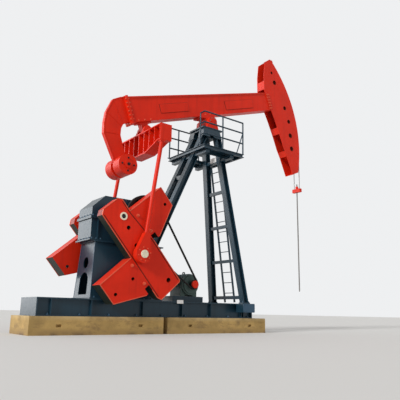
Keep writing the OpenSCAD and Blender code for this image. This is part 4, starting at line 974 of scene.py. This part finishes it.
class PUMPUNIT_OT_plates(Operator):
    """Add the bare plates, the foot plates of the guard rail and the outriggers' ends"""
    bl_idname = "pumpunit.plates"
    bl_label = "Plates"

    def execute(self, context):
        low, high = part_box("skid_rail_near")
        plates("skid_plate", [((-1.17, low[1], high[2] - 0.005), (1, 0, 0), (0, -1, 0))],
               size=(0.2, 0.09), thickness=0.004, colour="bare_plate")
        plates("platform_plate", [((0.2165, -0.075, 4.995), (0, -1, 0), (-1, 0, 0))],
               size=(0.27, 0.15), thickness=0.004, colour="bare_plate")
        low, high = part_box("platform_deck")
        edge_y, front_x, rear_x = high[1] - 0.027, high[0] - 0.025, low[0] + 0.025
        posts = [(front_x - 0.775, -edge_y), (rear_x, edge_y), (rear_x + 0.325, edge_y)]
        plates("post_feet", [((x, y, high[2]), (1, 0, 0), UP) for x, y in posts],
               size=(0.12, 0.05), thickness=0.008, colour="navy_paint")
        low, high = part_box("front_outriggers")
        centre = middle("front_outriggers")
        plates("outrigger_ends", [
            ((centre.x, y, centre.z), (-way, 0, 0), (0, way, 0))
            for way, y in zip(SIDES, (low[1], high[1]))],
            size=(high[0] - low[0], high[2] - low[2]), thickness=0.012, colour="navy_paint")
        return {"FINISHED"}


class PUMPUNIT_OT_welds(Operator):
    """Add the weld beads and the filled joints"""
    bl_idname = "pumpunit.welds"
    bl_label = "Weld beads"

    def beam(self):
        """Seams along the beam's flanges, and dark beads round the pads on its sides that paint their shadow
        lines.
        """
        seams, shadow_rims = [], []
        rear, front, top_rear, top_front = -2.66, 2.72, 0.9113, 0.8095
        # each pad's low and high u, low and high w
        pads = ((0.82, 2.048, 0.363, 0.638), (-1.691, -0.673, 0.42, 0.672))
        for y in both(BEAM_FACE):
            seams += [(on_beam(rear, y, start), on_beam(front, y, stop))
                      for start, stop in ((BEAM_FOOT, BEAM_FOOT), (top_rear, top_front))]
        for y in both(BEAM_FACE + 0.001):
            for u0, u1, w0, w1 in pads:
                shadow_rims += pairs([on_beam(u, y, w) for u, w in (
                    (u0, w0), (u1, w0), (u1, w1), (u0, w1), (u0, w0))])
        return seams, shadow_rims

    def execute(self, context):
        weld = context.scene.pumpunit_weld

        def beads(name, lines, colour, body, radius=weld.radius, ripple=weld.ripple):
            grown(name, path_mesh(name, lines), "Weld bead",
                  {"Radius": radius, "Ripple": ripple}, colour, body)

        def crank_lines(paths_of, face):
            return [[on_arm(s, side * face, n) for s, n in line]
                    for side in SIDES for path in paths_of(side) for line in pairs(path)]

        seams, shadow_rims = self.beam()
        beads("beam_welds", seams, "red_paint", "beam")
        # painted shadow lines round the pads, in the dark shade colour
        beads("pad_shadow_rims", shadow_rims, "dark_primer", "beam", weld.joint * 0.8)
        # painted shadow along the step between the arm and its weights
        beads("arm_joint_shadows", crank_lines(lambda side: ARM_JOINTS, ARM_FACE), "dark_primer",
              "cranks", weld.joint, 0.0)
        beads("crank_edges", crank_lines(crank_edges, ARM_FACE - 0.003), "red_paint",
              "cranks", weld.joint * 0.9, 0.0)
        low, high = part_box("crossbeam")
        web_x, top_z = middle("crossbeam").x, high[2] - 0.03
        beads("crossbeam_welds", [
            ((web_x + way, low[1] + 0.04, top_z), (web_x + way, high[1] - 0.04, top_z))
            for way in both(0.012)], "red_paint", "links")
        low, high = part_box("pedestal")
        foot_y, head_y, inset = 0.46, 0.373, 0.03
        corners = ((low[0] + inset, low[0] + 0.11), (-1.75, -1.75))
        beads("pedestal_welds", [
            ((foot_x, side * foot_y, low[2] + inset), (head_x, side * head_y, high[2] - inset))
            for foot_x, head_x in corners for side in SIDES], "navy_paint", "base")
        return {"FINISHED"}


class PUMPUNIT_OT_stage(Operator):
    """Set the floor, the light and the camera"""
    bl_idname = "pumpunit.stage"
    bl_label = "Stage"

    def lamp(self, name, strength, softness, source):
        """Sun lamp that shines from a direction; its softness is in degrees."""
        light = bpy.data.lights.new(name, "SUN")
        light.energy = strength
        light.angle = radians(softness)
        sun = new_piece(name, light)
        turn = Vector(source).normalized().to_track_quat("Z", "Y")
        sun.matrix_world = turn.to_matrix().to_4x4()
        return sun

    def sky(self, world, strength):
        """Even light, with a plain backdrop where the camera or glossy paint looks."""
        world.use_nodes = True
        tree = world.node_tree
        back = tree.nodes["Background"]
        feed(tree, back, {"Color": (1, 1, 1, 1), "Strength": strength})
        seen = add(tree, "ShaderNodeBackground", {"Color": BACKDROP})
        path = add(tree, "ShaderNodeLightPath").outputs
        rays = maths(tree, "MAXIMUM", path["Is Camera Ray"], path["Is Glossy Ray"])
        choose = add(tree, "ShaderNodeMixShader", {"Fac": rays, 1: back, 2: seen})
        feed(tree, tree.nodes["World Output"], {"Surface": choose})

    def camera(self, lens):
        """Camera at the place and turn of the photograph's."""
        view = bpy.data.cameras.new("camera")
        view.lens = lens
        view.sensor_width = 36.0
        camera = new_piece("camera", view)
        ahead = Vector(CAMERA_AHEAD).normalized()
        top = Vector(CAMERA_RIGHT).normalized().cross(ahead).normalized()
        right = ahead.cross(top).normalized()
        turn = Matrix((right, top, -ahead)).transposed()
        camera.matrix_world = Matrix.Translation(CAMERA_PLACE) @ turn.to_4x4()
        return camera

    def execute(self, context):
        scene = context.scene
        stage = scene.pumpunit_stage
        bpy.ops.mesh.primitive_plane_add(size=400)
        floor = context.object
        floor.name = "floor"
        new_material("pale_floor", stage.floor, {"Roughness": 0.9, "Specular IOR Level": 0.1})
        floor.data.materials.append(FINISHES["pale_floor"])
        scene.world = bpy.data.worlds.new("studio")
        self.sky(scene.world, stage.sky)
        self.lamp("soft_sun", stage.sun, 12, SUN_FROM)
        sheen = self.lamp("sheen", stage.sheen, 60, SHEEN_FROM)
        sheen.visible_diffuse = False
        scene.camera = self.camera(stage.lens)
        scene.view_settings.view_transform = "Standard"
        return {"FINISHED"}


STEPS = (
    PUMPUNIT_OT_finishes, PUMPUNIT_OT_frame_bolts, PUMPUNIT_OT_beam_bolts,
    PUMPUNIT_OT_crank_bolts, PUMPUNIT_OT_hole_cups, PUMPUNIT_OT_belts,
    PUMPUNIT_OT_motor_ribs, PUMPUNIT_OT_tread_plate, PUMPUNIT_OT_ropes,
    PUMPUNIT_OT_plates, PUMPUNIT_OT_welds, PUMPUNIT_OT_stage)

SETTINGS = {
    "pumpunit_finish": FinishSettings, "pumpunit_fasteners": FastenerSettings,
    "pumpunit_weld": WeldSettings, "pumpunit_drive": DriveSettings,
    "pumpunit_rope": RopeSettings, "pumpunit_tread": TreadSettings,
    "pumpunit_stage": StageSettings}


class PUMPUNIT_PT_panel(Panel):
    """Lists the steps and their settings"""
    bl_label = "Pumping unit"
    bl_idname = "PUMPUNIT_PT_panel"
    bl_space_type = "VIEW_3D"
    bl_region_type = "UI"
    bl_category = "Pumping unit"

    def draw(self, context):
        for step in STEPS:
            self.layout.operator(step.bl_idname)
        for settings in SETTINGS:
            group = getattr(context.scene, settings)
            for name in group.__annotations__:
                self.layout.prop(group, name)


CLASSES = (*SETTINGS.values(), *STEPS, PUMPUNIT_PT_panel)


def register():
    """Registers the settings, the steps and the panel."""
    for kind in CLASSES:
        bpy.utils.register_class(kind)
    for settings, kind in SETTINGS.items():
        setattr(bpy.types.Scene, settings, bpy.props.PointerProperty(type=kind))


def unregister():
    """Takes back what register did."""
    for settings in SETTINGS:
        delattr(bpy.types.Scene, settings)
    for kind in reversed(CLASSES):
        bpy.utils.unregister_class(kind)


def main():
    """Builds everything."""
    register()
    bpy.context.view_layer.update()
    for build in (bolt_tree, block_tree, tread_tree, rope_tree, belt_tree, bead_tree):
        build()
    for step in STEPS:
        getattr(bpy.ops.pumpunit, step.bl_idname.split(".")[1])()


if __name__ == "__main__":
    main()
